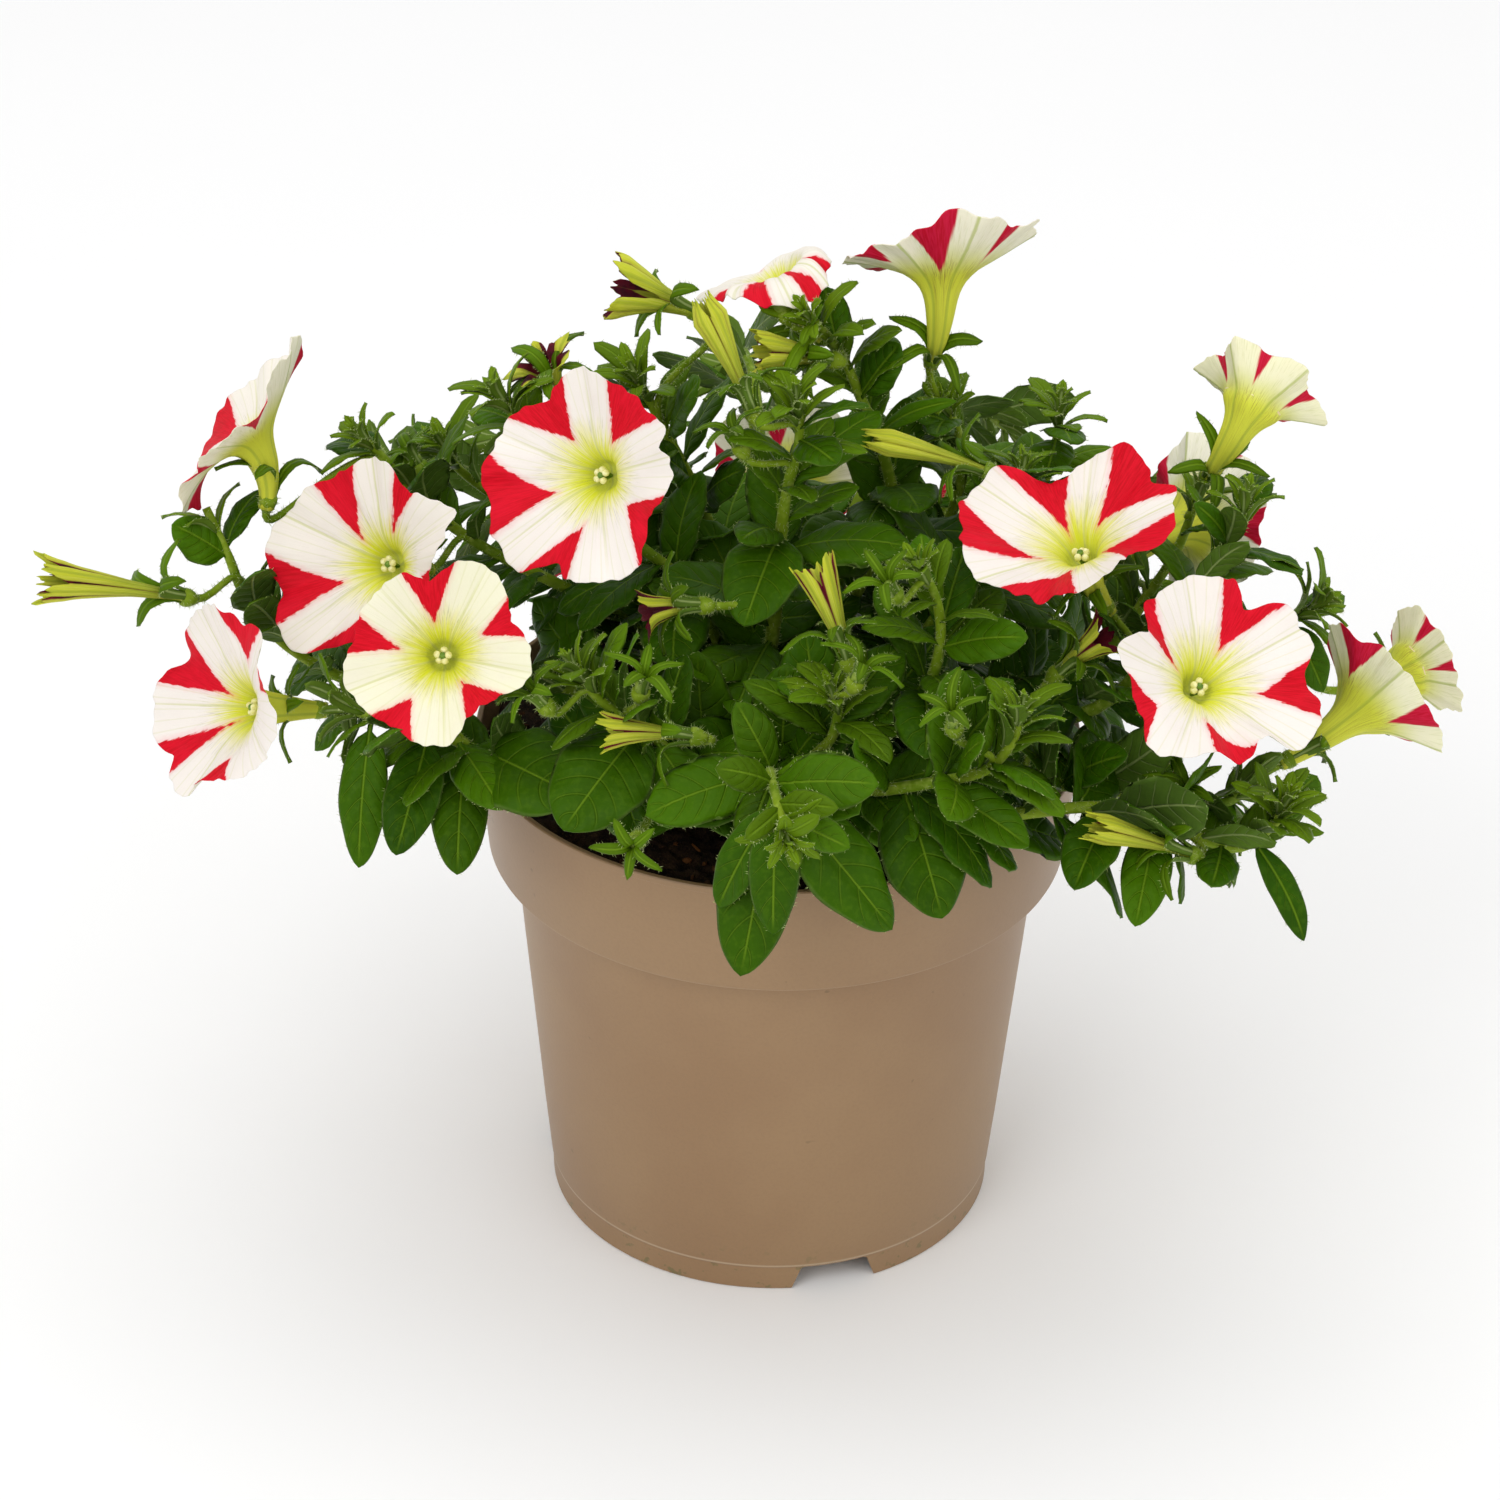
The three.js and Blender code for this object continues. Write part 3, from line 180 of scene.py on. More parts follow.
# Side twigs that end in an empty calyx: stem, place, way it points, length
TWIGS = [
    ("top", (790, 322, 2), (-0.5, 0.8, 0.3), 14),
    ("centre", (745, 456, -40), (-0.4, 0.8, 0.4), 13),
    ("centre_front", (852, 690, -92), (0.3, 0.7, 0.6), 16),
    ("front_left", (640, 700, -92), (0.1, 0.7, 0.7), 16),
    ("front_left", (552, 712, -90), (-0.6, 0.6, 0.5), 16),
    ("front_left", (640, 836, -110), (-0.2, -0.3, 0.9), 13),
    ("centre_right", (898, 600, -80), (-0.4, 0.6, 0.7), 14),
    ("left_top", (425, 475, 10), (-0.5, 0.8, 0.3), 13),
    ("right_low", (1186, 806, -70), (-0.1, 0.55, 0.8), 16),
    ("front_right", (956, 735, -112), (-0.2, 0.7, 0.7), 15),
]

# Open flowers: name, middle of the face, way it faces (right, up, to the eye), calyx, radius, turn,
# side that droops, how far it droops, stem that bears it
FLOWERS = [
    ("left_side", (231, 418, -8), (-0.74, 0.64, 0.2), (266, 507, -14), 31.5, 20, 190, 6, "left_back"),
    ("left_upper", (366, 560, -42), (-0.47, 0.08, 0.88), (429, 570, -16), 31, 40, 0, 0, "left_back"),
    ("left_front", (438, 652, -88), (-0.04, 0.06, 1.0), (450, 661, -54), 27.5, 22, 0, 0, "left_front"),
    ("left_low", (212, 706, -66), (-0.8, 0.02, 0.6), (326, 710, -48), 31.5, 6, 0, 5, "left_front"),
    ("upper_left", (578, 475, -56), (-0.5, -0.04, 0.86), (642, 476, -28), 32, 46, 0, 0, "upper_left"),
    ("top", (758, 246, 24), (-0.42, 0.9, -0.02), (828, 345, 30), 24, 31, 285, 10, "top"),
    ("top_right", (939, 241, 22), (-0.08, 0.99, -0.08), (930, 374, 18), 32, 51, 180, 3, "top_right"),
    ("right_upper", (1072, 520, -52), (-0.18, 0.66, 0.73), (1112, 618, -42), 34, 38, 0, 0, "right_side"),
    ("right_front", (1218, 668, -82), (0.34, 0.4, 0.85), (1168, 718, -62), 32.5, 68, 0, 0, "right_low"),
    ("right_top", (1262, 385, -2), (0.42, 0.8, -0.42), (1205, 480, -4), 21, 18, 0, 0, "right_up"),
    ("right_behind", (1208, 520, 34), (0.75, 0.1, -0.65), (1135, 560, 20), 27, 0, 0, 0, "right_up"),
    ("far_right", (1384, 688, -28), (0.73, 0.63, -0.27), (1256, 782, -50), 26, 30, 0, 0, "right_low"),
    ("far_right_small", (1425, 661, 44), (0.84, 0.42, -0.34), (1345, 690, 30), 20, 20, 0, 0, "far_right"),
    ("behind_left", (560, 510, 128), (-0.5, 0.35, -0.79), (610, 520, 100), 27, 15, 0, 0, "behind_left"),
    ("behind", (790, 470, 140), (0.1, 0.5, -0.86), (775, 500, 106), 28, 40, 0, 0, "behind"),
    ("behind_right", (985, 545, 134), (0.5, 0.35, -0.79), (940, 550, 104), 27, 5, 0, 0, "behind_right"),
]

# How each open flower looks. A red wedge has the angles at which it starts and ends on the edge, and the
# angle and the share of the radius of its inner tip. An edge goes through (angle, share of the radius). A
# bend has its angle, its half width and how far it lifts the rim. The ruffle is in millimetres, and yellow
# and cream say how far the throat's yellow reaches and how cream the white is.
FLOWER_LOOKS = {
    "left_side": {
        "wedges": [(14, 40, 24, 0.5), (95, 148, 112, 0.35), (162, 190, 176, 0.45),
                   (222, 246, 232, 0.5), (284, 306, 292, 0.5)],
        "edge": [(0, 1.0), (10, 1.05), (20, 0.98), (27, 0.9), (40, 0.98), (60, 0.92), (80, 0.88),
                 (95, 0.9), (110, 0.97), (118, 0.92), (130, 1.0), (148, 0.97), (162, 1.0),
                 (176, 0.92), (190, 1.0), (205, 1.0), (222, 0.92), (234, 0.83), (246, 0.9),
                 (265, 0.92), (284, 0.94), (295, 0.83), (306, 0.95), (325, 1.0), (345, 1.0)],
        "bends": [(176, 22, -4), (25, 16, -2), (230, 18, 2)],
        "ruffle": 1.2, "yellow": 0.3, "cream": 0.3},
    "left_upper": {
        "wedges": [(98, 128, 132, 0.3), (52, 69, 66, 0.3), (173, 211, 204, 0.41),
                   (235, 258, 262, 0.5), (335, 350, 342, 0.7)],
        "edge": [(0, 0.8), (8, 0.9), (15, 0.94), (23, 1.07), (31, 0.97), (40, 0.88), (50, 0.82),
                 (58, 0.79), (66, 0.86), (72, 0.95), (84, 1.0), (92, 0.98), (98, 0.93), (108, 0.92),
                 (118, 0.92), (128, 1.0), (138, 1.03), (146, 1.03), (154, 1.1), (162, 1.15),
                 (172, 1.13), (182, 1.11), (190, 1.05), (196, 0.99), (203, 1.09), (210, 1.15),
                 (220, 1.18), (228, 1.2), (235, 1.08), (241, 0.95), (250, 0.88), (258, 0.83),
                 (275, 0.9), (300, 0.95), (320, 0.9), (335, 0.8), (345, 0.7)],
        "bends": [(226, 16, 2), (250, 12, -3), (344, 12, -3), (58, 10, -1.5)],
        "ruffle": 0.8, "yellow": 0.5, "cream": 0.15},
    "left_front": {
        "wedges": [(79, 115, 102, 0.32), (9, 38, 25, 0.48), (293, 327, 306, 0.32),
                   (223, 254, 237, 0.57), (155, 181, 173, 0.41)],
        "edge": [(0, 0.99), (9, 0.94), (17, 0.91), (24, 0.84), (31, 0.89), (38, 0.94), (45, 0.98),
                 (57, 1.05), (69, 1.03), (79, 0.98), (88, 0.84), (98, 0.78), (106, 0.85), (115, 0.93),
                 (124, 0.93), (137, 0.92), (150, 0.93), (156, 0.92), (165, 0.93), (173, 0.89),
                 (181, 0.975), (190, 1.02), (200, 1.06), (212, 1.0), (223, 0.98), (232, 0.95),
                 (240, 0.91), (247, 0.95), (254, 0.99), (265, 1.0), (276, 1.01), (283, 0.92),
                 (293, 0.78), (301, 0.77), (308, 0.75), (318, 0.82), (325, 0.8), (332, 0.93),
                 (346, 1.02)],
        "bends": [(310, 14, 1.5), (100, 9, -1), (24, 8, -1)],
        "ruffle": 0.5, "yellow": 0.9, "cream": 1.0},
    "left_low": {
        "wedges": [(124, 165, 152, 0.25), (198, 219, 216, 0.22), (44, 77, 52, 0.5),
                   (262, 292, 276, 0.55), (6, 24, 14, 0.7)],
        "edge": [(0, 0.92), (12, 0.84), (24, 0.86), (36, 0.92), (44, 1.0), (52, 0.98), (59, 0.86),
                 (66, 0.95), (72, 0.9), (78, 0.98), (86, 0.95), (96, 0.97), (108, 0.95), (116, 0.93),
                 (124, 0.92), (133, 0.9), (142, 0.83), (150, 0.88), (158, 0.96), (166, 1.0),
                 (180, 1.03), (192, 1.04), (199, 1.05), (206, 0.95), (212, 0.87), (218, 1.0),
                 (226, 0.98), (236, 1.02), (245, 0.94), (256, 0.84), (268, 0.78), (282, 0.76),
                 (296, 0.8), (312, 0.86), (330, 0.95), (345, 1.0)],
        "bends": [(142, 14, -2), (270, 24, 4), (20, 20, 4), (330, 20, -2)],
        "ruffle": 0.9, "yellow": 0.2, "cream": 0.1},
    "upper_left": {
        "wedges": [(100, 146, 122, 0.36), (31, 68, 54, 0.34), (308, 349, 325, 0.5),
                   (235, 262, 263, 0.45), (168, 211, 203, 0.41)],
        "edge": [(0, 1.02), (9, 1.01), (16, 0.92), (22, 1.03), (31, 0.99), (37, 0.93), (43, 0.89),
                 (50, 0.93), (60, 0.93), (68, 0.92), (75, 0.96), (82, 0.985), (90, 0.98), (100, 0.92),
                 (108, 0.86), (116, 0.8), (125, 0.82), (136, 0.89), (146, 0.94), (152, 0.93),
                 (162, 0.95), (168, 0.95), (176, 1.01), (185, 1.04), (195, 0.97), (203, 1.04),
                 (211, 1.09), (219, 1.06), (226, 1.13), (235, 1.09), (243, 0.95), (252, 0.86),
                 (258, 0.96), (267, 0.98), (280, 0.99), (292, 1.04), (303, 1.06), (310, 1.06),
                 (318, 0.95), (329, 0.84), (339, 0.88), (349, 0.98)],
        "bends": [(328, 14, -2.5), (118, 14, -1.5), (10, 10, 1.5), (252, 8, -1.5)],
        "ruffle": 0.8, "yellow": 0.7, "cream": 0.1},
    "top": {
        "wedges": [(203, 221, 212, 0.5), (237, 257, 250, 0.3), (289, 308, 272, 0.25),
                   (322, 340, 330, 0.5), (90, 115, 100, 0.5)],
        "edge": [(0, 0.95), (20, 0.86), (60, 0.9), (90, 0.9), (120, 0.92), (150, 1.0), (180, 1.15),
                 (195, 1.15), (212, 1.0), (228, 1.08), (247, 1.0), (265, 1.06), (285, 1.02),
                 (299, 0.97), (315, 1.03), (331, 0.92), (345, 1.0)],
        "bends": [(285, 72, -14), (90, 60, -8), (0, 30, -6), (190, 30, -7)],
        "ruffle": 0.6, "yellow": 0.1, "cream": 0.3},
    "top_right": {
        "wedges": [(248, 279, 270, 0.3), (309, 322, 316, 0.42), (205, 226, 220, 0.6),
                   (35, 60, 48, 0.5), (120, 142, 130, 0.5)],
        "edge": [(0, 0.95), (15, 0.97), (30, 0.9), (48, 0.84), (70, 0.95), (90, 1.0), (110, 0.95),
                 (130, 0.86), (150, 0.95), (170, 0.95), (185, 0.9), (200, 0.95), (210, 0.92),
                 (222, 0.95), (232, 0.9), (240, 0.86), (250, 0.84), (258, 0.9), (264, 0.98),
                 (270, 1.05), (278, 1.08), (286, 1.02), (296, 1.04), (303, 1.0), (311, 0.95),
                 (318, 0.9), (328, 1.0), (340, 1.0), (350, 0.9)],
        "bends": [(0, 16, 2), (190, 24, -3), (240, 14, -2), (270, 14, 2)],
        "ruffle": 1.0, "yellow": 0.4, "cream": 0.3},
    "right_upper": {
        "wedges": [(91, 131, 112, 0.22), (12, 62, 46, 0.28), (312, 355, 330, 0.25),
                   (225, 270, 260, 0.36), (157, 192, 207, 0.38)],
        "edge": [(0, 0.87), (9, 0.91), (16, 0.98), (22, 0.88), (27, 0.82), (35, 0.86), (43, 0.91),
                 (50, 0.95), (57, 0.98), (62, 0.86), (66, 0.8), (74, 0.76), (84, 0.68), (92, 0.68),
                 (105, 0.72), (116, 0.76), (123, 0.86), (131, 1.0), (142, 1.01), (152, 1.0),
                 (159, 1.04), (168, 1.0), (176, 0.95), (184, 0.98), (192, 0.97), (200, 1.02),
                 (210, 1.0), (218, 0.96), (226, 0.94), (235, 0.93), (242, 0.88), (248, 0.95),
                 (256, 0.86), (269, 0.89), (275, 0.87), (283, 0.82), (292, 0.77), (300, 0.72),
                 (311, 0.67), (322, 0.68), (331, 0.8), (339, 0.88), (347, 0.93)],
        "bends": [(98, 17, -5), (128, 12, 2), (52, 13, 3), (25, 6, -2), (325, 16, -3), (245, 30, -2)],
        "ruffle": 0.8, "yellow": 0.9, "cream": 0.1},
    "right_front": {
        "wedges": [(47, 86, 67, 0.33), (341, 375, 348, 0.46), (266, 293, 263, 0.45),
                   (192, 230, 214, 0.7), (134, 157, 164, 0.28)],
        "edge": [(0, 0.95), (4, 0.92), (9, 0.93), (15, 0.95), (21, 1.04), (27, 1.06), (35, 1.01),
                 (47, 1.05), (52, 0.95), (58, 0.84), (64, 0.75), (70, 0.85), (77, 0.92), (86, 0.88),
                 (94, 0.92), (106, 0.93), (120, 0.89), (130, 0.86), (136, 0.87), (141, 0.9),
                 (146, 0.82), (152, 0.75), (159, 0.74), (166, 0.82), (171, 0.92), (176, 1.0),
                 (183, 1.02), (191, 0.94), (200, 0.92), (212, 0.9), (220, 0.92), (226, 1.05),
                 (232, 1.12), (238, 1.14), (246, 1.03), (257, 0.93), (266, 0.84), (273, 0.89),
                 (281, 0.97), (287, 0.92), (294, 0.8), (303, 0.8), (309, 0.86), (314, 0.96),
                 (320, 1.06), (331, 1.07), (341, 1.05), (350, 1.03)],
        "bends": [(208, 20, -4), (152, 10, -2), (300, 12, 2), (64, 8, -1.5), (4, 8, -1.5)],
        "ruffle": 0.9, "yellow": 0.8, "cream": 0.1},
    "right_top": {
        "wedges": [(193, 220, 206, 0.45), (260, 277, 262, 0.42), (332, 354, 337, 0.4),
                   (48, 66, 57, 0.5), (115, 135, 125, 0.5)],
        "edge": [(0, 0.88), (16, 1.1), (30, 1.0), (45, 0.82), (58, 0.76), (72, 0.86), (86, 1.1),
                 (100, 0.9), (125, 0.74), (142, 0.9), (165, 1.08), (180, 0.9), (195, 0.78),
                 (208, 0.74), (220, 0.8), (232, 0.92), (243, 1.12), (252, 0.94), (262, 0.84),
                 (270, 0.78), (280, 0.78), (292, 0.88), (305, 1.12), (315, 0.9), (325, 0.78),
                 (340, 0.74), (352, 0.8)],
        "bends": [(268, 10, 2), (206, 10, 2), (342, 10, 2)],
        "ruffle": 0.4, "yellow": 0.9, "cream": 0.7},
    "right_behind": {
        "wedges": [(-16, 16, 0, 0.45), (57, 87, 72, 0.5), (129, 159, 144, 0.4), (201, 231, 216, 0.45),
                   (273, 303, 288, 0.5)],
        "edge": [(0, 0.88), (18, 0.95), (36, 1.08), (54, 0.95), (72, 0.86), (90, 0.95), (110, 1.05),
                 (130, 0.94), (144, 0.86), (162, 0.96), (180, 1.05), (198, 0.95), (216, 0.88),
                 (234, 0.95), (252, 1.06), (272, 0.95), (288, 0.86), (306, 0.95), (324, 1.06),
                 (342, 0.96)],
        "bends": [(40, 30, -5)],
        "ruffle": 1.0, "yellow": 0.5, "cream": 0.2},
    "far_right": {
        "wedges": [(213, 254, 226, 0.38), (318, 346, 335, 0.32), (40, 58, 50, 0.5),
                   (100, 118, 108, 0.5), (160, 178, 170, 0.55)],
        "edge": [(0, 0.92), (12, 1.02), (22, 0.97), (40, 0.82), (60, 0.8), (80, 0.88), (100, 0.85),
                 (120, 0.82), (140, 0.88), (160, 0.86), (180, 0.92), (195, 1.0), (207, 0.96),
                 (215, 0.98), (222, 0.93), (230, 0.83), (245, 0.75), (258, 0.74), (270, 0.78),
                 (284, 0.85), (300, 0.78), (312, 0.75), (322, 0.79), (332, 0.87), (342, 0.9),
                 (350, 0.87)],
        "bends": [(245, 14, 2), (330, 10, 2)],
        "ruffle": 0.4, "yellow": 0.9, "cream": 0.6},
    "far_right_small": {
        "wedges": [(256, 277, 262, 0.4), (311, 329, 318, 0.4), (2, 12, 350, 0.6), (80, 100, 90, 0.5),
                   (160, 180, 170, 0.5)],
        "edge": [(0, 0.95), (10, 1.06), (20, 1.0), (40, 0.84), (60, 0.88), (85, 0.82), (110, 0.9),
                 (140, 0.88), (170, 0.84), (200, 0.88), (225, 0.93), (240, 0.98), (250, 1.05),
                 (258, 0.93), (268, 0.84), (276, 0.87), (290, 1.0), (302, 0.88), (312, 0.87),
                 (320, 0.92), (328, 0.88), (342, 0.86)],
        "bends": [(266, 10, 1.5), (320, 10, 1.5)],
        "ruffle": 0.3, "yellow": 0.9, "cream": 0.6},
    "behind_left": {
        "wedges": [(-2, 32, 15, 0.4), (70, 104, 87, 0.42), (141, 178, 159, 0.36),
                   (214, 248, 231, 0.45), (286, 320, 303, 0.4)],
        "edge": [(0, 0.95), (15, 0.86), (31, 0.96), (50, 1.03), (70, 0.96), (87, 0.84), (104, 0.95),
                 (125, 1.0), (142, 0.96), (160, 0.88), (178, 0.98), (196, 1.04), (214, 0.97),
                 (231, 0.86), (248, 0.95), (268, 1.0), (286, 0.94), (303, 0.85), (320, 0.97),
                 (340, 1.03)],
        "bends": [(159, 24, -4), (300, 20, 2)],
        "ruffle": 1.0, "yellow": 0.6, "cream": 0.2},
    "behind": {
        "wedges": [(22, 58, 40, 0.36), (96, 128, 112, 0.42), (167, 201, 184, 0.45),
                   (238, 275, 256, 0.36), (312, 345, 328, 0.45)],
        "edge": [(5, 1.02), (22, 0.96), (40, 0.85), (58, 0.95), (76, 1.03), (96, 0.95), (112, 0.87),
                 (128, 0.96), (148, 1.0), (167, 0.94), (184, 0.86), (201, 0.97), (220, 1.04),
                 (238, 0.96), (256, 0.84), (275, 0.95), (293, 1.0), (312, 0.95), (328, 0.87),
                 (345, 0.97)],
        "bends": [(256, 26, -4), (76, 20, 2)],
        "ruffle": 1.0, "yellow": 0.7, "cream": 0.2},
    "behind_right": {
        "wedges": [(-12, 22, 5, 0.45), (59, 96, 77, 0.36), (132, 166, 149, 0.4), (203, 238, 221, 0.4),
                   (276, 310, 293, 0.45)],
        "edge": [(5, 0.86), (22, 0.96), (41, 1.03), (59, 0.95), (77, 0.84), (96, 0.96), (113, 1.0),
                 (132, 0.95), (149, 0.87), (166, 0.96), (185, 1.04), (203, 0.96), (221, 0.86),
                 (238, 0.95), (257, 1.02), (276, 0.95), (293, 0.85), (310, 0.96), (330, 1.0),
                 (348, 0.96)],
        "bends": [(20, 22, 4)],
        "ruffle": 1.0, "yellow": 0.6, "cream": 0.3},
}

# Faded flowers and long buds: name, calyx, tip, widest radius, stem that bears it, then how far its mouth
# opens, how far its lobes spread, how dark it is, how much it is flattened and how deep it is split
FADED_FLOWERS = [
    ("top_left", (702, 315, 8), (606, 284, 2), 8.0, "top_left", 0.6, 0.12, 1.5, 0.35, 0.6),
    ("top_middle", (757, 422, -36), (700, 298, -22), 5.0, "centre", -0.3, 0.15, 0.2, 0.2, 0.1),
    ("top_front", (842, 362, 0), (752, 352, -8), 6.0, "top", 0.5, 0.3, 0.3, 0.1, 0.1),
    ("upper_left", (560, 400, -2), (538, 358, -4), 8.0, "upper_left", 1.0, 0.35, 0.75, 0.0, 0.15),
    ("long_bud", (996, 474, -22), (866, 438, -26), 4.6, "right_bud", 0.0, 0.0, 0.0, 0.0, 0.0),
    ("far_left", (194, 599, -34), (36, 580, -60), 5.2, "far_left", 0.5, 0.5, 0.5, 0.2, 0.1),
    ("middle_left", (712, 606, -60), (638, 614, -66), 5.0, "centre", 0.8, 0.6, 2.2, 0.0, 0.1),
    ("middle", (852, 672, -84), (812, 560, -70), 6.2, "centre_front", 0.7, 0.25, 0.9, 0.0, 0.15),
    ("middle_low", (704, 738, -96), (598, 732, -98), 4.2, "front_left", 0.6, 0.5, 0.7, 0.2, 0.15),
    ("right_middle", (1050, 680, -60), (1112, 632, -60), 5.2, "right_low", 0.8, 0.4, 1.6, 0.1, 0.2),
    ("right_bottom", (1200, 858, -96), (1086, 826, -106), 4.6, "right_bottom", 0.2, 0.15, 0.2, 0.1, 0.1),
]

# Large leaves on the stems: stem, where it grows, tip, width, arch
STEM_LEAVES = [
    ("left_front", (372, 720), (352, 866, -92), 15, 5),
    ("left_front", (430, 730), (400, 856, -104), 17, 4),
    ("left_front", (470, 745), (452, 874, -106), 17, 4),
    ("left_front", (455, 738), (498, 812, -100), 16, 5),
    ("far_left", (228, 558), (172, 524, -24), 15, 3),
    ("front_left", (655, 740), (698, 812, -100), 18, 4),
    ("front_left", (690, 760), (752, 756, -98), 17, 4),
    ("front_centre", (775, 800), (716, 905, -128), 13, 4),
    ("front_centre", (775, 785), (886, 936, -132), 24, 7),
    ("front_right", (930, 783), (1030, 845, -120), 15, 4),
    ("front_right", (870, 788), (912, 842, -112), 15, 4),
    ("centre_right", (938, 650), (1028, 632, -80), 15, 4),
    ("right_low", (1060, 785), (1128, 752, -84), 15, 4),
    ("right_bottom", (1110, 808), (1068, 888, -118), 17, 4),
    ("right_bottom", (1160, 822), (1134, 926, -116), 15, 4),
    ("right_bottom", (1250, 842), (1308, 938, -98), 14, 9),
    ("right_bottom", (1225, 846), (1216, 888, -112), 13, 3),
    ("right_low", (1200, 803), (1206, 842, -62), 15, 3),
    ("top_left", (670, 440), (700, 378, 2), 15, 2),
    ("top", (878, 440), (956, 396, -4), 10, 8),
    ("top", (882, 540), (905, 396, 30), 17, 3),
    ("right_top", (1056, 440), (1048, 478, 6), 14, 3),
    ("centre", (799, 440), (835, 465, -52), 14, 3),
    ("far_right", (1290, 620), (1322, 692, 6), 12, 3),
    ("right_side", (1228, 545), (1196, 500, -40), 8, 3),
]

# More leaves that show, which are too thin to matter to the collision model, in the same order
MORE_LEAVES = [
    ("front_left", (690, 765), (742, 838, -100), 18, 4),
    ("front_left", (640, 745), (612, 800, -96), 16, 4),
    ("centre", (770, 650), (692, 676, -62), 17, 4),
    ("centre", (772, 640), (728, 714, -66), 20, 4),
    ("centre_front", (806, 760), (748, 738, -86), 15, 4),
    ("front_centre", (777, 800), (770, 934, -138), 15, 5),
    ("top", (882, 540), (800, 552, -6), 24, 4),
    ("top", (893, 498), (932, 514, 0), 14, 3),
    ("top", (861, 398), (902, 346, 6), 14, 3),
    ("upper_left", (690, 590), (650, 590, -26), 16, 3),
    ("top_right", (957, 430), (912, 414, 10), 11, 4),
    ("right_low", (1200, 803), (1238, 842, -60), 15, 3),
    ("right_bud", (955, 590), (905, 560, -30), 16, 4),
    ("centre_right", (925, 688), (880, 722, -80), 17, 4),
    ("centre_right", (925, 688), (990, 700, -84), 16, 4),
    ("front_right", (960, 778), (985, 735, -124), 12, 3),
    ("right_low", (1060, 785), (1015, 745, -88), 15, 4),
    ("top_left", (700, 500), (745, 470, 4), 17, 4),
    ("top_left", (690, 480), (640, 450, 6), 16, 4),
    ("right_low", (1110, 790), (1100, 850, -84), 16, 4),
    ("left_top", (580, 545), (600, 610, -4), 18, 4),
    ("left_front", (470, 745), (578, 806, -104), 30, 5),
]

# Large leaves that are pieces of their own: name, stem it grows on, where, tip, width, arch
OWN_LEAVES = [
    ("left_rim", "front_left", (640, 728), (566, 832, -112), 30, 6),
    ("centre_high", "centre", (783, 530), (742, 626, -62), 24, 4),
    ("front_hanging", "front_centre", (772, 775), (752, 978, -136), 24, 9),
    ("rim_right", "front_right", (900, 785), (944, 918, -126), 26, 6),
]

# Outline of the foliage in the picture, which leaves stay inside
OUTLINE = [
    (112, 610), (135, 525), (172, 480), (235, 470), (300, 462), (340, 420), (385, 408), (470, 372),
    (600, 338), (700, 305), (770, 275), (850, 278), (905, 330), (950, 366), (964, 424), (990, 455),
    (1012, 440), (1014, 395), (1060, 382), (1112, 410), (1112, 440), (1190, 470), (1245, 452), (1300, 515),
    (1345, 575), (1340, 760), (1328, 810), (1315, 940), (1240, 885), (1130, 928), (1060, 885), (1040, 850),
    (1000, 875), (975, 925), (890, 945), (780, 980), (700, 950), (650, 872), (600, 845), (540, 842),
    (470, 882), (390, 860), (350, 870), (335, 800), (290, 775), (300, 700), (240, 640), (180, 608),
]

UP = np.array([0.0, 0.0, 1.0])


def unit(a):
    return a / math.sqrt(float(a @ a))


def cross(a, b):
    return np.array([a[1] * b[2] - a[2] * b[1], a[2] * b[0] - a[0] * b[2], a[0] * b[1] - a[1] * b[0]])


def units(a):
    """Rows of vectors, each made one long."""
    return a / np.linalg.norm(a, axis=-1, keepdims=True)


def across_to(a, along):
    """The direction nearest to a that is square to another."""
    return unit(a - along * (a @ along))


LEAF_REFERENCE = unit(np.array([0.31, 0.92, 0.23]))
LEAF_FACE = unit(np.array([0, -0.55, 0.83]))


def view_axes():
    """The picture's own axes in the part's frame: forward, right and up."""
    pitch, yaw, roll = (math.radians(a) for a in (VIEW_PITCH, VIEW_YAW, VIEW_ROLL))
    flat = math.cos(pitch)
    forward = np.array([math.sin(yaw) * flat, math.cos(yaw) * flat, -math.sin(pitch)])
    level = unit(cross(forward, UP))
    upright = cross(level, forward)
    right = level * math.cos(roll) + upright * math.sin(roll)
    up = upright * math.cos(roll) - level * math.sin(roll)
    return forward, right, up


FORWARD, RIGHT, UPWARD = view_axes()


def at(place):
    """The point that shows at u, v in the picture and lies at the depth y."""
    u, v, y = place
    across = RIGHT * (u - PICTURE_MIDDLE) + UPWARD * (PICTURE_MIDDLE - v)
    ray = FORWARD + across / FOCAL_PIXELS
    return EYE + ray * (y - EYE[1]) / ray[1]


def picture_of(point):
    """Where a point shows in the picture."""
    ray = point - EYE
    depth = ray @ FORWARD
    return (PICTURE_MIDDLE + FOCAL_PIXELS * (ray @ RIGHT) / depth,
            PICTURE_MIDDLE - FOCAL_PIXELS * (ray @ UPWARD) / depth)


def is_inside_outline(place):
    """Whether a place in the picture is inside the outline of the foliage."""
    u, v = place
    inside = False
    for (u1, v1), (u0, v0) in zip(OUTLINE, OUTLINE[-1:] + OUTLINE[:-1]):
        if (v1 > v) != (v0 > v) and u < (u0 - u1) * (v - v1) / (v0 - v1) + u1:
            inside = not inside
    return inside


def random_source(seed):
    """A small repeatable source of numbers from 0 to 1."""
    state = (seed * 7919 + 12345) % 2147483647

    def draw():
        nonlocal state
        state = (state * 16807) % 2147483647
        return state / 2147483647

    return draw


# Curves


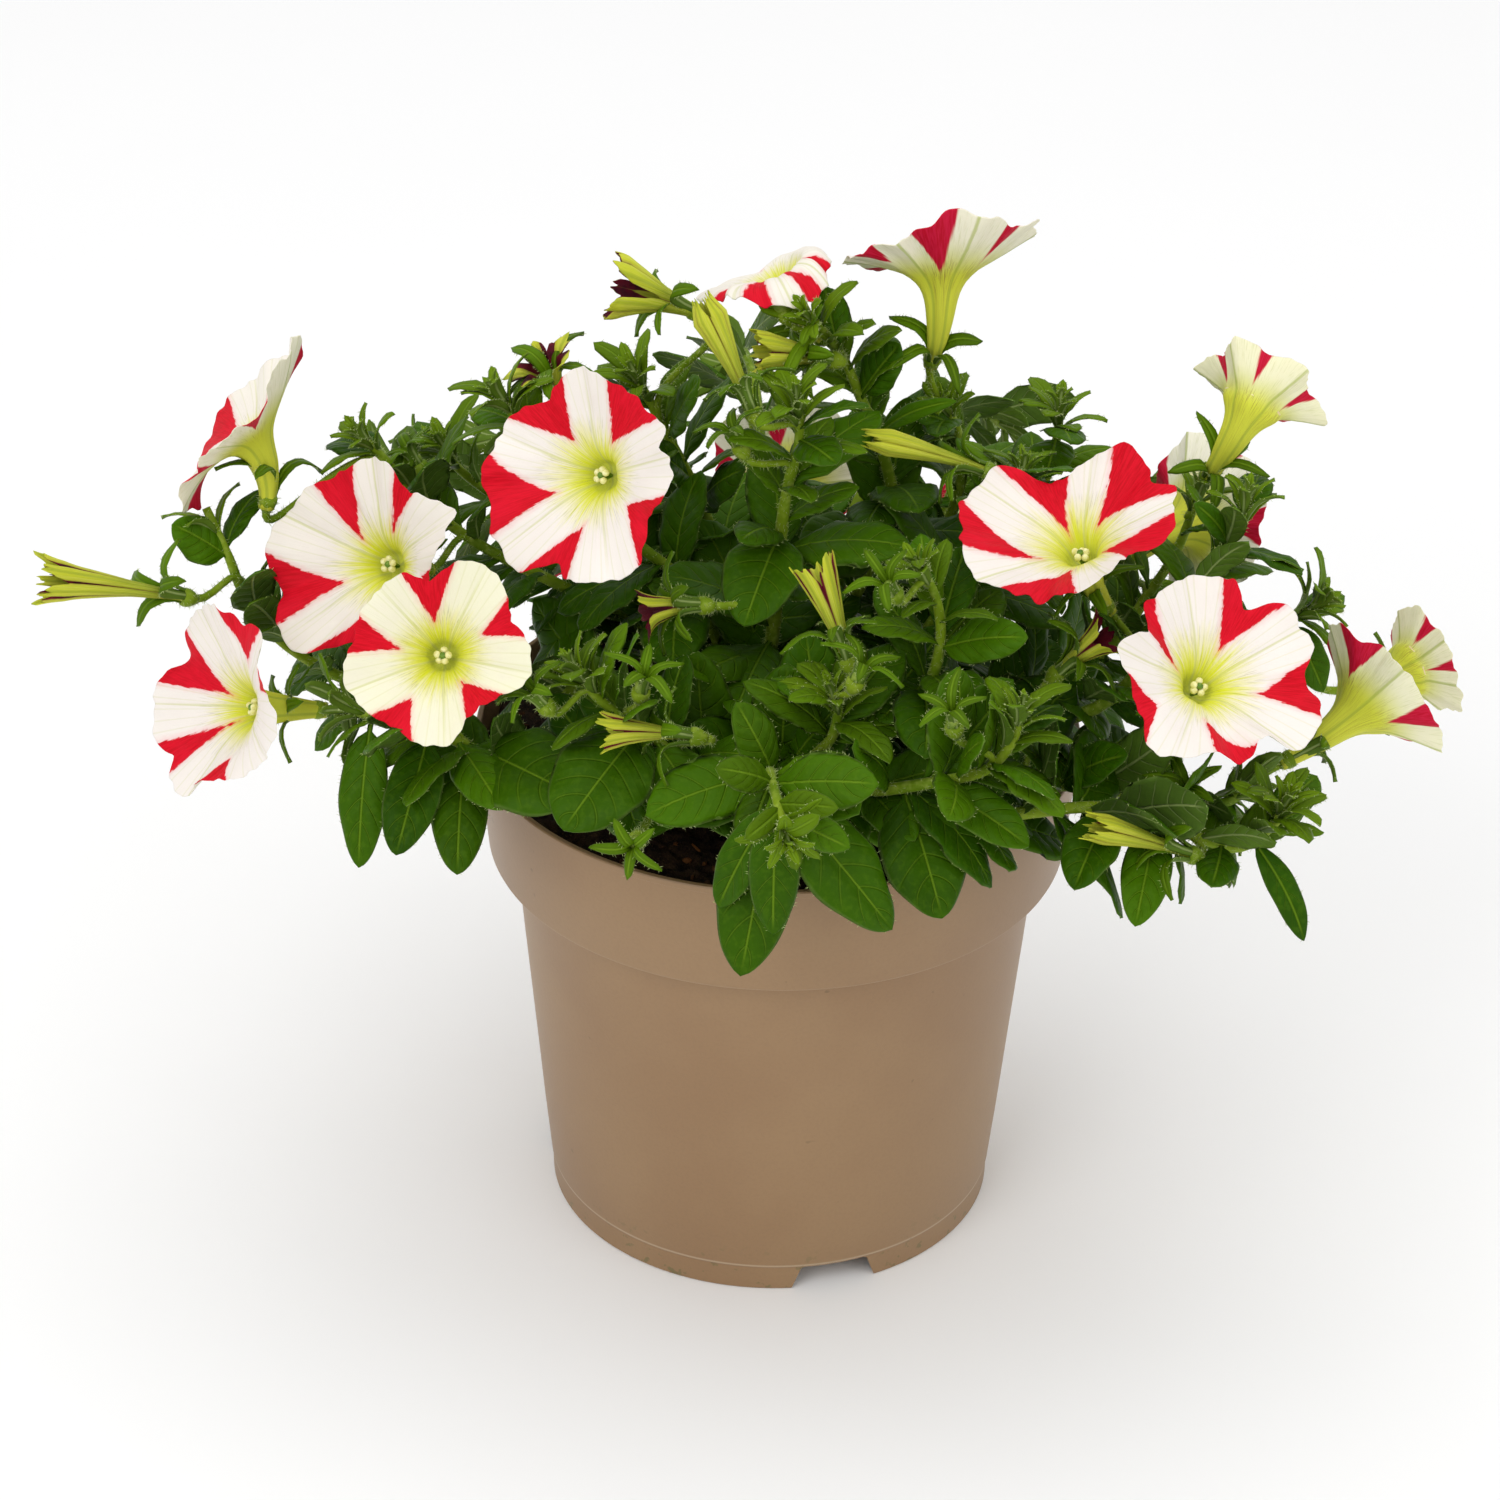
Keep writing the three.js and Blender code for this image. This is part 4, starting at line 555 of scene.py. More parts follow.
class Curve:
    """A curve through space, at a share from 0 to 1 of its run."""

    def tangent(self, t):
        low, high = max(0, t - 0.0001), min(1, t + 0.0001)
        return unit(self.point(high) - self.point(low))

    def length(self):
        if not hasattr(self, "known_length"):
            points = np.array([self.point(i / 200) for i in range(201)])
            self.known_length = float(np.linalg.norm(np.diff(points, axis=0), axis=1).sum())
        return self.known_length

    def points_along(self, spacing):
        count = max(2, math.floor(self.length() / spacing + 0.5))
        return [self.point(i / count) for i in range(count + 1)]


class Route(Curve):
    """A smooth curve through given points."""

    def __init__(self, points):
        self.ends = [2 * points[0] - points[1], *points, 2 * points[-1] - points[-2]]

    def point(self, t):
        count = len(self.ends) - 3
        place = count * t
        step = min(count - 1, int(place))
        w = place - step
        before, start, end, after = self.ends[step:step + 4]
        leave, arrive = (end - before) / 2, (after - start) / 2
        return (start + leave * w + (3 * (end - start) - 2 * leave - arrive) * w * w
                + (2 * (start - end) + leave + arrive) * w ** 3)


class Bow(Curve):
    """A Bezier curve of three or four control points."""

    def __init__(self, *controls):
        self.controls = controls

    def point(self, t):
        points = self.controls
        while len(points) > 1:
            points = [a * (1 - t) + b * t for a, b in zip(points, points[1:])]
        return points[0]


def leaf_line(leaf):
    """The arched midrib of a leaf."""
    middle = (leaf["base"] + leaf["tip"]) / 2 + leaf["face"] * leaf["arch"]
    return Bow(leaf["base"], middle, leaf["tip"])


# Stems


def stem_of(number, row):
    """A stem from its row, rooted in the soil, with the few straight rings that the solid model has."""
    name, angle, distance, radius, leaf_start, leaf_count, leaf_length, route = row
    outward = np.array([math.cos(math.radians(angle)), math.sin(math.radians(angle)), 0])
    root = np.array([0, 0, SOIL_Z - SOCKET_DEPTH]) + outward * distance
    neck = root + UP * (SOCKET_DEPTH + STEM_NECK_HEIGHT) + outward * STEM_NECK_LEAN
    curve = Route([root, neck, *map(at, route)])
    steps = max(6, math.floor(curve.length() / STEM_STEP + 0.5))
    rings = np.array([curve.point(i / steps) for i in range(steps + 1)])
    return {"name": name, "curve": curve, "radius": radius, "steps": steps, "rings": rings,
            "leaf_start": leaf_start, "leaf_count": leaf_count, "leaf_length": leaf_length,
            "random": random_source(number), "seed": number}


stems = {row[0]: stem_of(i + 1, row) for i, row in enumerate(STEMS)}


def on_stem(stem, t):
    """The middle of a stem as the solid model has it, straight from one of its rings to the next."""
    step = min(stem["steps"] - 1, int(t * stem["steps"]))
    w = t * stem["steps"] - step
    return stem["rings"][step] * (1 - w) + stem["rings"][step + 1] * w


def nearest_in_picture(stem, place):
    """The place along a stem that shows nearest to a place in the picture."""
    shares = [i / 60 for i in range(61)]
    return min(shares, key=lambda t: math.dist(picture_of(on_stem(stem, t)), place))


def nearest_along(stem, point):
    """The place along a stem from which a side shoot to a point leaves at a natural slant."""
    shares = [i / 60 for i in range(12, 58)]
    best = min(shares, key=lambda t: math.dist(on_stem(stem, t), point))
    shortest = math.dist(on_stem(stem, best), point)
    return max(LOWEST_SHOOT, best - STALK_SET_BACK * shortest / stem["curve"].length())


# Flowers


def axis_of(facing):
    """A direction given by how far it points right, up and to the eye."""
    right, up, to_eye = facing
    return unit(RIGHT * right + UPWARD * up - FORWARD * to_eye)


def flower_of(row):
    """A flower from its row, with the curved middle line of its funnel and two directions of its face."""
    name, face, facing, calyx, radius, turn, droop_side, droop, stem = row
    middle = at(face)
    axis = axis_of(facing)
    wanted = at(calyx)
    length = min(LONGEST_FUNNEL, max(SHORTEST_FUNNEL, math.dist(wanted, middle)))
    base = middle + unit(wanted - middle) * length
    line = Bow(base, middle - axis * FUNNEL_BEND * length, middle)
    first = across_to(RIGHT, axis)
    return {"name": name, "middle": middle, "axis": axis, "line": line, "first": first,
            "second": cross(axis, first), "radius": radius, "turn": turn,
            "droop_side": droop_side, "droop": droop, "stem": stem, "length": length}


flowers = [flower_of(row) for row in FLOWERS]


def face_point(flower, angle, share):
    """A point of the solid model's flower face, at an angle and a share of the radius."""
    lobe = ((angle - flower["turn"]) / 360 * LOBES) % 1
    swell = math.sin(math.pi * lobe) ** LOBE_ROUNDNESS
    reach = flower["radius"] * share * (1 - SINUS_DEPTH * (1 - swell) * share)
    sag = max(0, math.cos(math.radians(angle - flower["droop_side"])))
    height = FACE_RISE * (share - 0.5) - flower["droop"] * sag * sag * share * share
    around = math.radians(angle)
    return (flower["middle"] + flower["first"] * reach * math.cos(around)
            + flower["second"] * reach * math.sin(around) + flower["axis"] * height)


def faded_of(number, row):
    """A faded flower from its row."""
    name, calyx, tip, radius, stem, mouth, spread, dark, flat, split = row
    base, end = at(calyx), at(tip)
    line = Bow(base, (base + end) / 2 + UP * 2, end)
    return {"name": name, "line": line, "radius": radius, "stem": stem, "mouth": mouth,
            "spread": spread, "dark": dark, "flat": flat, "split": split, "seed": number}


faded_flowers = [faded_of(i, row) for i, row in enumerate(FADED_FLOWERS)]
twigs = [{"stem": row[0], "base": at(row[1]), "way": axis_of(row[2]), "length": row[3]} for row in TWIGS]


# Room for leaves


class Taken:
    """Places that leaves keep clear of, each with a radius and an owner."""

    def __init__(self):
        self.rows, self.owners, self.table = [], [], None

    def take(self, points, radius, owner):
        self.rows += [(*point, radius) for point in points]
        self.owners += [owner] * len(points)
        self.table = None

    def is_free(self, point, owner, clearance, kind=""):
        if self.table is None:
            self.table = np.array(self.rows), np.array(self.owners)
        rows, owners = self.table
        near = np.linalg.norm(rows[:, :3] - point, axis=1) <= rows[:, 3] + clearance
        near &= owners != owner
        return not any(name.startswith(kind) for name in owners[near])


taken = Taken()

# How far behind its middle a flower still hides a point, and the slant at which it no longer shows its face
FACE_DEPTH = 6
FACES_EYE = 0.2


def hides_flower(point):
    """Whether a point shows in front of the face of a flower that looks at the eye."""
    place = picture_of(point)
    for flower in flowers:
        nearer = (point - flower["middle"]) @ FORWARD < FACE_DEPTH
        if nearer and flower["axis"] @ FORWARD < FACES_EYE:
            if math.dist(place, picture_of(flower["middle"])) < flower["radius"] * PICTURE_SCALE:
                return True
    return False


for a in np.radians(range(0, 360, RIM_POINT_ANGLE)):
    edge = [RIM_RADIUS * math.cos(a), RIM_RADIUS * math.sin(a)]
    taken.take([[*edge, POT_HEIGHT], [*edge, POT_HEIGHT - 6]], 2, "pot")
for stem in stems.values():
    taken.take(stem["curve"].points_along(7), stem["radius"], "stem " + stem["name"])
for twig in twigs:
    taken.take([twig["base"], twig["base"] + twig["way"] * twig["length"]], 3, "stem " + twig["stem"])
for flower in flowers:
    taken.take(flower["line"].points_along(7), 3, "flower " + flower["name"])
    for share, step in ((0.45, 60), (0.95, 30)):
        points = [face_point(flower, a, share) for a in range(0, 360, step)]
        taken.take(points, 4, "flower " + flower["name"])
for faded in faded_flowers:
    taken.take(faded["line"].points_along(6), faded["radius"], "faded " + faded["name"])

# Distance from the axis and height of the face of a flower of full size
FACE_HEIGHTS = np.array([(0, -9), (6, -9), (9, -7), (14, -5), (20, -3.5), (30, 0)], float)
FACE_ROOM = 4
DROOP_ROOM = 1.8


def is_in_flower(point, own=""):
    """Whether a point is in the open mouth of a flower or in its rim."""
    for flower in flowers:
        if flower["name"] == own:
            continue
        off = point - flower["middle"]
        height = float(off @ flower["axis"])
        sag = DROOP_ROOM * flower["droop"]
        if -14 - sag < height < 8:
            out = math.dist(off, flower["axis"] * height)
            wall = np.interp(out * 30 / flower["radius"], *FACE_HEIGHTS.T)
            lowest = wall - FACE_ROOM - sag * (out / flower["radius"]) ** 2
            if out < flower["radius"] + 2 and height > lowest:
                return True
    return False


# Leaves, in the order the solid model places them


def placed_leaf(stem_name, where, tip, width, arch):
    """A large leaf from its row, which turns its face up and to the eye."""
    stem = stems[stem_name]
    base = on_stem(stem, nearest_in_picture(stem, where))
    end = at(tip)
    face = across_to(LEAF_FACE, unit(end - base))
    return {"base": base, "tip": end, "width": width, "arch": arch, "face": face, "kind": "large"}


stem_leaves = {name: [] for name in stems}
for stem_name, *rest in STEM_LEAVES:
    leaf = placed_leaf(stem_name, *rest)
    stem_leaves[stem_name].append(leaf)
    taken.take(leaf_line(leaf).points_along(8)[1:], 3, "leaf")
own_leaves = {}
for name, *rest in OWN_LEAVES:
    own_leaves[name] = placed_leaf(*rest)
    taken.take(leaf_line(own_leaves[name]).points_along(8)[1:], 5, "leaf")


def side_leaf(stem, t, azimuth, size, shade, slant, slimness):
    """A leaf that grows from a stem at a share of its run, on the side that the azimuth gives."""
    base = on_stem(stem, t)
    along = stem["curve"].tangent(t)
    first = unit(cross(along, LEAF_REFERENCE))
    angle = math.radians(azimuth)
    out = first * math.cos(angle) + cross(along, first) * math.sin(angle)
    way = along * math.cos(slant) + out * math.sin(slant)
    way[2] -= LEAF_WEIGHT
    way = unit(way)
    face = across_to(along + UP * 0.7, way)
    return {"base": base, "tip": base + way * size, "width": size * (slimness + LEAF_FULLNESS * shade),
            "arch": LEAF_ARCH * size, "face": face, "kind": "small"}


def grow_leaves(stem):
    """The small leaves of the solid model, round the stem where there is room."""
    owner = "stem " + stem["name"]
    azimuth = 360 * stem["random"]()
    for k in range(stem["leaf_count"]):
        t = stem["leaf_start"] + (LAST_LEAF - stem["leaf_start"]) * (k + 0.5) / stem["leaf_count"]
        lowness = LOW_LEAF_SHARE - LEAF_SHRINK * k / stem["leaf_count"]
        size = stem["leaf_length"] * lowness * (0.85 + 0.3 * stem["random"]())
        shade = stem["random"]()
        azimuth += GOLDEN_ANGLE
        slant = math.radians(LEAF_SLANT + LEAF_SLANT_SPREAD * shade)
        for attempt in range(LEAF_TRIES):
            turned = azimuth + LEAF_TRY_TURN * attempt
            leaf = side_leaf(stem, t, turned, size, shade, slant, LEAF_SLIMNESS)
            line = leaf_line(leaf)
            tests = [line.point(s) for s in LEAF_TESTS]
            clear = all(taken.is_free(p, owner, LEAF_CLEARANCE) and not hides_flower(p) for p in tests)
            if clear and is_inside_outline(picture_of(leaf["tip"])) and leaf["tip"][2] > LOWEST_TIP:
                stem_leaves[stem["name"]].append(leaf)
                taken.take(tests, 2.5, "leaf")
                break


for stem in stems.values():
    grow_leaves(stem)
for stem_name, *rest in MORE_LEAVES:
    stem_leaves[stem_name].append(placed_leaf(stem_name, *rest))

# Thin leaves that fill the foliage: how far apart along a stem, tries, least room to a flower, from where,
# their lengths low and high on the stem, from where a stem is bare and how far to the front or back they go
FILL_SPACING = 7.5
FILL_TRIES = 5
FILL_CLEARANCE = 0.5
FILL_FROM = 0.2
FILL_LONGEST = 36
FILL_SHORTEST = 15
BARE_FROM = {"right_up": 0.72, "right_side": 0.75, "far_left": 0.75, "left_back": 0.8, "top_right": 0.85}
DEEPEST_LEAF = 158
FILL_TESTS = (0.4, 0.7, 1)
FILL_LOWEST_TIP = SOIL_Z - 2
YOUTH_FROM = 0.45
YOUNG = 0.7


def fill_leaves(stem):
    """Thin leaves all along a stem, smaller and more upright towards its tip."""
    random = random_source(FILL_SEED + stem["seed"])
    owner = "stem " + stem["name"]
    count = int((1 - FILL_FROM) * stem["curve"].length() / FILL_SPACING)
    azimuth = 360 * random()
    for k in range(count):
        t = FILL_FROM + (BARE_FROM.get(stem["name"], 0.99) - FILL_FROM) * (k + random()) / count
        youth = max(0, t - YOUTH_FROM) / (1 - YOUTH_FROM)
        size = (FILL_LONGEST + (FILL_SHORTEST - FILL_LONGEST) * youth) * (0.8 + 0.4 * random())
        shade = random()
        azimuth += GOLDEN_ANGLE
        slant = math.radians(50 + 22 * random() - 8 * youth)
        for attempt in range(FILL_TRIES):
            turned = azimuth + LEAF_TRY_TURN * attempt
            leaf = side_leaf(stem, t, turned, size, shade, slant, 0.46 - 0.2 * youth)
            leaf["arch"] = (0.16 + 0.12 * youth) * size
            line = leaf_line(leaf)
            tests = [line.point(s) for s in FILL_TESTS]
            clear = all(taken.is_free(p, owner, FILL_CLEARANCE, "f") and not hides_flower(p)
                        and not is_in_flower(p) for p in tests)
            inside = is_inside_outline(picture_of(leaf["tip"])) and abs(leaf["tip"][1]) < DEEPEST_LEAF
            if clear and inside and leaf["tip"][2] > FILL_LOWEST_TIP:
                leaf["kind"] = "young" if youth > YOUNG else "small"
                leaf["youth"] = youth
                stem_leaves[stem["name"]].append(leaf)
                break


for stem in stems.values():
    fill_leaves(stem)


# Meshes

HAIR_RADIUS = 0.1
STEM_HAIR = 1.5
LEAF_HAIR = 1.0


class Skin:
    """The points and faces of one piece, with two vectors at each point that its materials read."""

    def __init__(self):
        self.points, self.marks, self.looks = [], [], []
        self.loops, self.sizes, self.slots = [], [], []
        self.count = 0

    def add(self, rings, marks, looks, slot):
        """A closed skin over rows of rings, whose first and last are filled in."""
        rows, columns = rings.shape[:2]
        index = np.arange(rows * columns).reshape(rows, columns)
        a, d = index[:-1], index[1:]
        quads = np.stack([a, np.roll(a, -1, 1), np.roll(d, -1, 1), d], -1).reshape(-1, 4)
        caps = np.stack([index[0][::-1], index[-1]])
        points = rings.reshape(-1, 3)
        centred = points - points.mean(0)
        corners = centred[quads]
        volume = np.einsum("ij,ij->", corners[:, 0], np.cross(corners[:, 1], corners[:, 2]))
        volume += np.einsum("ij,ij->", corners[:, 0], np.cross(corners[:, 2], corners[:, 3]))
        for cap in caps:
            fan = centred[cap]
            volume += np.einsum("ij,ij->", np.broadcast_to(fan[0], (columns - 2, 3)),
                                np.cross(fan[1:-1], fan[2:]))
        if volume < 0:
            quads, caps = quads[:, ::-1], caps[:, ::-1]
        self.points.append(points)
        self.marks.append(np.broadcast_to(marks, rings.shape).reshape(-1, 3))
        self.looks.append(np.broadcast_to(looks, rings.shape).reshape(-1, 3))
        self.loops += [quads.ravel() + self.count, caps.ravel() + self.count]
        self.sizes += [np.full(len(quads), 4), np.full(2, columns)]
        self.slots += [np.full(len(quads) + 2, slot)]
        self.count += len(points)

    def add_hairs(self, roots, ways, length, slot):
        """Stiff hairs, each a slim closed spike, that stand out from their roots."""
        count = len(roots)
        if count == 0:
            return
        draw = np.random.default_rng(count + self.count)
        ways = units(ways + 0.45 * draw.normal(size=(count, 3)))
        first = units(np.cross(ways, draw.normal(size=(count, 3))))
        second = np.cross(ways, first)
        tips = roots + ways * (length * draw.uniform(0.6, 1.25, (count, 1)))
        feet = [roots + (first * math.cos(a) + second * math.sin(a)) * HAIR_RADIUS
                for a in (0, 2 * math.pi / 3, 4 * math.pi / 3)]
        points = np.stack([*feet, tips], 1).reshape(-1, 3)
        faces = np.array([[0, 1, 3], [1, 2, 3], [2, 0, 3], [0, 2, 1]])
        loops = (np.arange(count)[:, None, None] * 4 + faces).reshape(-1, 3)
        self.points.append(points)
        self.marks.append(np.zeros_like(points))
        self.looks.append(np.zeros_like(points))
        self.loops.append(loops.ravel() + self.count)
        self.sizes.append(np.full(len(loops), 3))
        self.slots.append(np.full(len(loops), slot))
        self.count += len(points)

    def finish(self, name, materials):
        """The Blender object made of all that was added."""
        mesh = bpy.data.meshes.new(name)
        points = np.concatenate(self.points) * MM
        loops = np.concatenate(self.loops)
        sizes = np.concatenate(self.sizes)
        mesh.vertices.add(len(points))
        mesh.vertices.foreach_set("co", points.astype(np.float32).ravel())
        mesh.loops.add(len(loops))
        mesh.loops.foreach_set("vertex_index", loops.astype(np.int32))
        mesh.polygons.add(len(sizes))
        starts = np.concatenate([[0], np.cumsum(sizes)[:-1]])
        mesh.polygons.foreach_set("loop_start", starts.astype(np.int32))
        mesh.polygons.foreach_set("material_index", np.concatenate(self.slots).astype(np.int32))
        mesh.polygons.foreach_set("use_smooth", np.ones(len(sizes), bool))
        for label, values in (("mark", self.marks), ("look", self.looks)):
            attribute = mesh.attributes.new(label, "FLOAT_VECTOR", "POINT")
            attribute.data.foreach_set("vector", np.concatenate(values).astype(np.float32).ravel())
        mesh.update(calc_edges=True)
        mesh.validate()
        for material in materials:
            mesh.materials.append(material)
        made = bpy.data.objects.new(name, mesh)
        bpy.context.scene.collection.objects.link(made)
        return made


def piece(skin, node, materials):
    """The visible piece that stands for a solid of the same name."""
    made = skin.finish(node + "_look", materials)
    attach(made, "root")
    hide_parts(node)


def frames_along(points, reference):
    """Tangents and two sideways directions at each of a row of points, turning as little as can be."""
    tangents = units(np.gradient(points, axis=0))
    firsts = [across_to(reference, tangents[0])]
    for tangent in tangents[1:]:
        firsts.append(across_to(firsts[-1], tangent))
    firsts = np.array(firsts)
    return tangents, firsts, np.cross(tangents, firsts)


def circle(count):
    """Cosines and sines of evenly spaced angles."""
    angles = 2 * math.pi * np.arange(count) / count
    return np.cos(angles), np.sin(angles)


def add_rod(skin, points, radii, sides, look, slot, reference=LEAF_REFERENCE, hairs=0):
    """A round rod through points, with a radius at each and a number of hairs on each millimetre."""
    points, radii = np.array(points), np.array(radii, float)
    _, first, second = frames_along(points, reference)
    c, s = circle(sides)
    rings = (points[:, None] + first[:, None] * (radii[:, None] * c)[..., None]
             + second[:, None] * (radii[:, None] * s)[..., None])
    run = np.concatenate([[0], np.cumsum(np.linalg.norm(np.diff(points, axis=0), axis=1))])
    marks = np.stack(np.broadcast_arrays(c[None], run[:, None], s[None]), -1)
    skin.add(rings, marks, look, slot)
    draw = np.random.default_rng(len(skin.points))
    places = draw.uniform(0, run[-1], int(hairs * run[-1]))
    rows = np.clip(np.searchsorted(run, places) - 1, 0, len(run) - 2)
    share = ((places - run[rows]) / (run[rows + 1] - run[rows]))[:, None]
    turns = draw.uniform(0, 2 * math.pi, len(places))[:, None]
    ways = first[rows] * np.cos(turns) + second[rows] * np.sin(turns)
    middles = points[rows] * (1 - share) + points[rows + 1] * share
    thick = radii[rows][:, None] * (1 - share) + radii[rows + 1][:, None] * share
    skin.add_hairs(middles + ways * thick * 0.95, ways, STEM_HAIR, HAIR_SLOT)


def add_ball(skin, centre, axis, radius, length, look, slot, sides=8, rows=6):
    """An egg shape round a centre, along an axis."""
    turns = np.linspace(0.06, math.pi - 0.06, rows)
    points = [centre - axis * length / 2 * math.cos(t) for t in turns]
    add_rod(skin, points, radius * np.sin(turns), sides, look, slot)


class LeafForm:
    """Where a leaf's rows are, how wide each is and how its section is shaped."""

    def __init__(self, rows, half_columns, petiole, base_power, tip_power, *section):
        even = np.linspace(0, 1, rows)
        self.t = 0.5 * even + 0.5 * np.sin(even * math.pi / 2)
        s = np.clip((self.t - petiole) / (1 - petiole), 0, 1)
        peak = base_power / (base_power + tip_power)
        best = peak ** base_power * (1 - peak) ** tip_power
        self.share = s ** base_power * (1 - s) ** tip_power / best
        self.blade = np.clip(self.share * 2.5, 0, 1)
        top = np.sin(np.linspace(-1, 1, half_columns + 1) * math.pi / 2) * 0.5
        top = top + np.linspace(-1, 1, half_columns + 1) * 0.5
        self.x = np.concatenate([top, top[1:-1][::-1]])
        self.side = np.concatenate([np.ones(half_columns + 1), -np.ones(half_columns - 1)])
        self.side[[0, half_columns]] = 0
        self.stalk_half, self.thickness, self.fold, self.roll = section


# Rows, half its columns, petiole, fullness at the base and at the tip, half width of the petiole,
# thickness, and how it folds and rolls
LEAF_FORMS = {
    "large": LeafForm(26, 14, 0.1, 0.54, 0.64, 0.9, 0.55, 0.34, 0.42),
    "small": LeafForm(11, 7, 0.08, 0.6, 0.62, 0.7, 0.55, 0.36, 0.4),
    "young": LeafForm(8, 5, 0.02, 0.5, 0.42, 0.6, 0.7, 0.4, 0.3),
    "sepal": LeafForm(9, 5, 0.0, 0.55, 0.4, 1.1, 0.8, 0.3, 0.25),
}


def add_leaf(skin, leaf, random, slot, youth=0.0, hairs=0.0):
    """A leaf blade with a petiole, folded along its midrib, with edges that roll down."""
    form = LEAF_FORMS[leaf["kind"]]
    t = form.t[:, None]
    base, tip, face = leaf["base"], leaf["tip"], leaf["face"]
    middle = (base + tip) / 2 + face * leaf["arch"]
    line = base * (1 - t) ** 2 + middle * 2 * t * (1 - t) + tip * t * t
    along = units((middle - base) * (1 - t) + (tip - middle) * t)
    up = units(face - along * (along @ face)[:, None])
    side = np.cross(along, up)
    length = math.dist(base, tip)
    twist = (random() - 0.5) * 0.7 * (form.t - 0.2)
    up, side = (up * np.cos(twist)[:, None] + side * np.sin(twist)[:, None],
                side * np.cos(twist)[:, None] - up * np.sin(twist)[:, None])
    line = line + side * ((random() - 0.5) * 0.12 * length * t * t)
    half = np.maximum(form.share * leaf["width"] / 2, form.stalk_half * (1 - 0.85 * form.t))
    x, off = form.x, np.abs(form.x)
    fold = form.fold * (0.6 + 0.8 * random())
    roll = form.roll * (0.7 + 0.6 * random())
    rise = half[:, None] * form.blade[:, None] * (fold * off - roll * off ** 2.3)
    ripple = np.sin(2 * math.pi * (2.6 * t + random())) * np.where(x > 0, 1, -1) * off ** 2
    rise = rise + half[:, None] * 0.09 * ripple * form.blade[:, None]
    thin = form.thickness * (1 + 0.9 * (1 - form.blade[:, None])) * np.sqrt(1 - 0.9 * x * x)
    rib = np.exp(-(half[:, None] * x / 0.55) ** 2) * form.blade[:, None] * (1 - 0.7 * t)
    lift = rise + form.side * thin / 2 - np.where(form.side < 0, 0.75, 0.28) * rib
    rings = line[:, None] + side[:, None] * (half[:, None] * x)[..., None] + up[:, None] * lift[..., None]
    marks = np.stack(np.broadcast_arrays(x[None], t, form.side[None]), -1)
    looks = np.stack(np.broadcast_arrays(random(), youth, half[:, None] + 0 * x[None]), -1)
    skin.add(rings, marks, looks, slot)
    if hairs:
        add_edge_hairs(skin, form, rings, side, up, int(hairs * 2 * length))


def add_edge_hairs(skin, form, rings, side, up, count):
    """Hairs that stand out from both edges of a leaf."""
    draw = np.random.default_rng(len(skin.points))
    rows = np.clip(np.searchsorted(form.t, draw.uniform(0, 1, count)) - 1, 0, len(form.t) - 2)
    share = draw.uniform(0, 1, (count, 1))
    right = draw.integers(0, 2, count)
    edge = right * (len(form.side) // 2)
    roots = rings[rows, edge] * (1 - share) + rings[rows + 1, edge] * share
    ways = side[rows] * (2 * right - 1)[:, None] + 0.3 * up[rows]
    skin.add_hairs(roots, ways, LEAF_HAIR, HAIR_SLOT)


# Leafy stems

STEM_SLOT, LEAF_SLOT, CALYX_SLOT, FRUIT_SLOT, HAIR_SLOT = range(5)
STEM_HAIRS = 3
STALK_HAIRS = 5
SMALL_LEAF_HAIRS = 1.0
LARGE_LEAF_HAIRS = 0.35
SEPAL_LENGTH = 17
SEPAL_WIDTH = 4.4
TWIG_SEPAL_WIDTH = 3.6
ROSETTE_LEAVES = 11
ROSETTE_LONGEST = 19
ROSETTE_SHORTEST = 6

# Distances from the axis between which a leaf would run through the pot, and how it is shortened
WALL_BAND = (85, 98)
WALL_TRIES = 10
SHORTER = 0.88
NARROWER = 0.95

# A leaf that arches more than this is narrower, by this share
SLIM_ARCH = 7.5
SLIM_SHARE = 0.65

# Height and radius of the rings of a calyx cup
CUP = [(-1.2, 1.3), (0, 1.9), (1.2, 2.6), (2.4, 2.9), (3.6, 2.9), (4.4, 2.4)]


def is_in_wall(point):
    """Whether a point is as low as the pot and as far out as its wall."""
    return WALL_BAND[0] < math.hypot(point[0], point[1]) < WALL_BAND[1] and point[2] < POT_HEIGHT + 1


def clear_of_wall(leaf):
    """The leaf, shortened until its midrib no longer runs through the wall of the pot."""
    leaf = dict(leaf)
    for _ in range(WALL_TRIES):
        line = leaf_line(leaf)
        if not any(is_in_wall(line.point(t)) for t in np.linspace(0, 1, 13)):
            break
        leaf["tip"] = leaf["base"] + (leaf["tip"] - leaf["base"]) * SHORTER
        leaf["width"] *= NARROWER
        leaf["arch"] *= SHORTER
    return leaf


def add_young_leaf(skin, leaf, random, youth, own=""):
    """A sepal or a leaf of a growing tip, left out where it would pierce a flower."""
    middle = (leaf["base"] + leaf["tip"]) / 2
    if not is_in_flower(leaf["tip"], own) and not is_in_flower(middle, own):
        add_leaf(skin, leaf, random, LEAF_SLOT, youth, SMALL_LEAF_HAIRS)


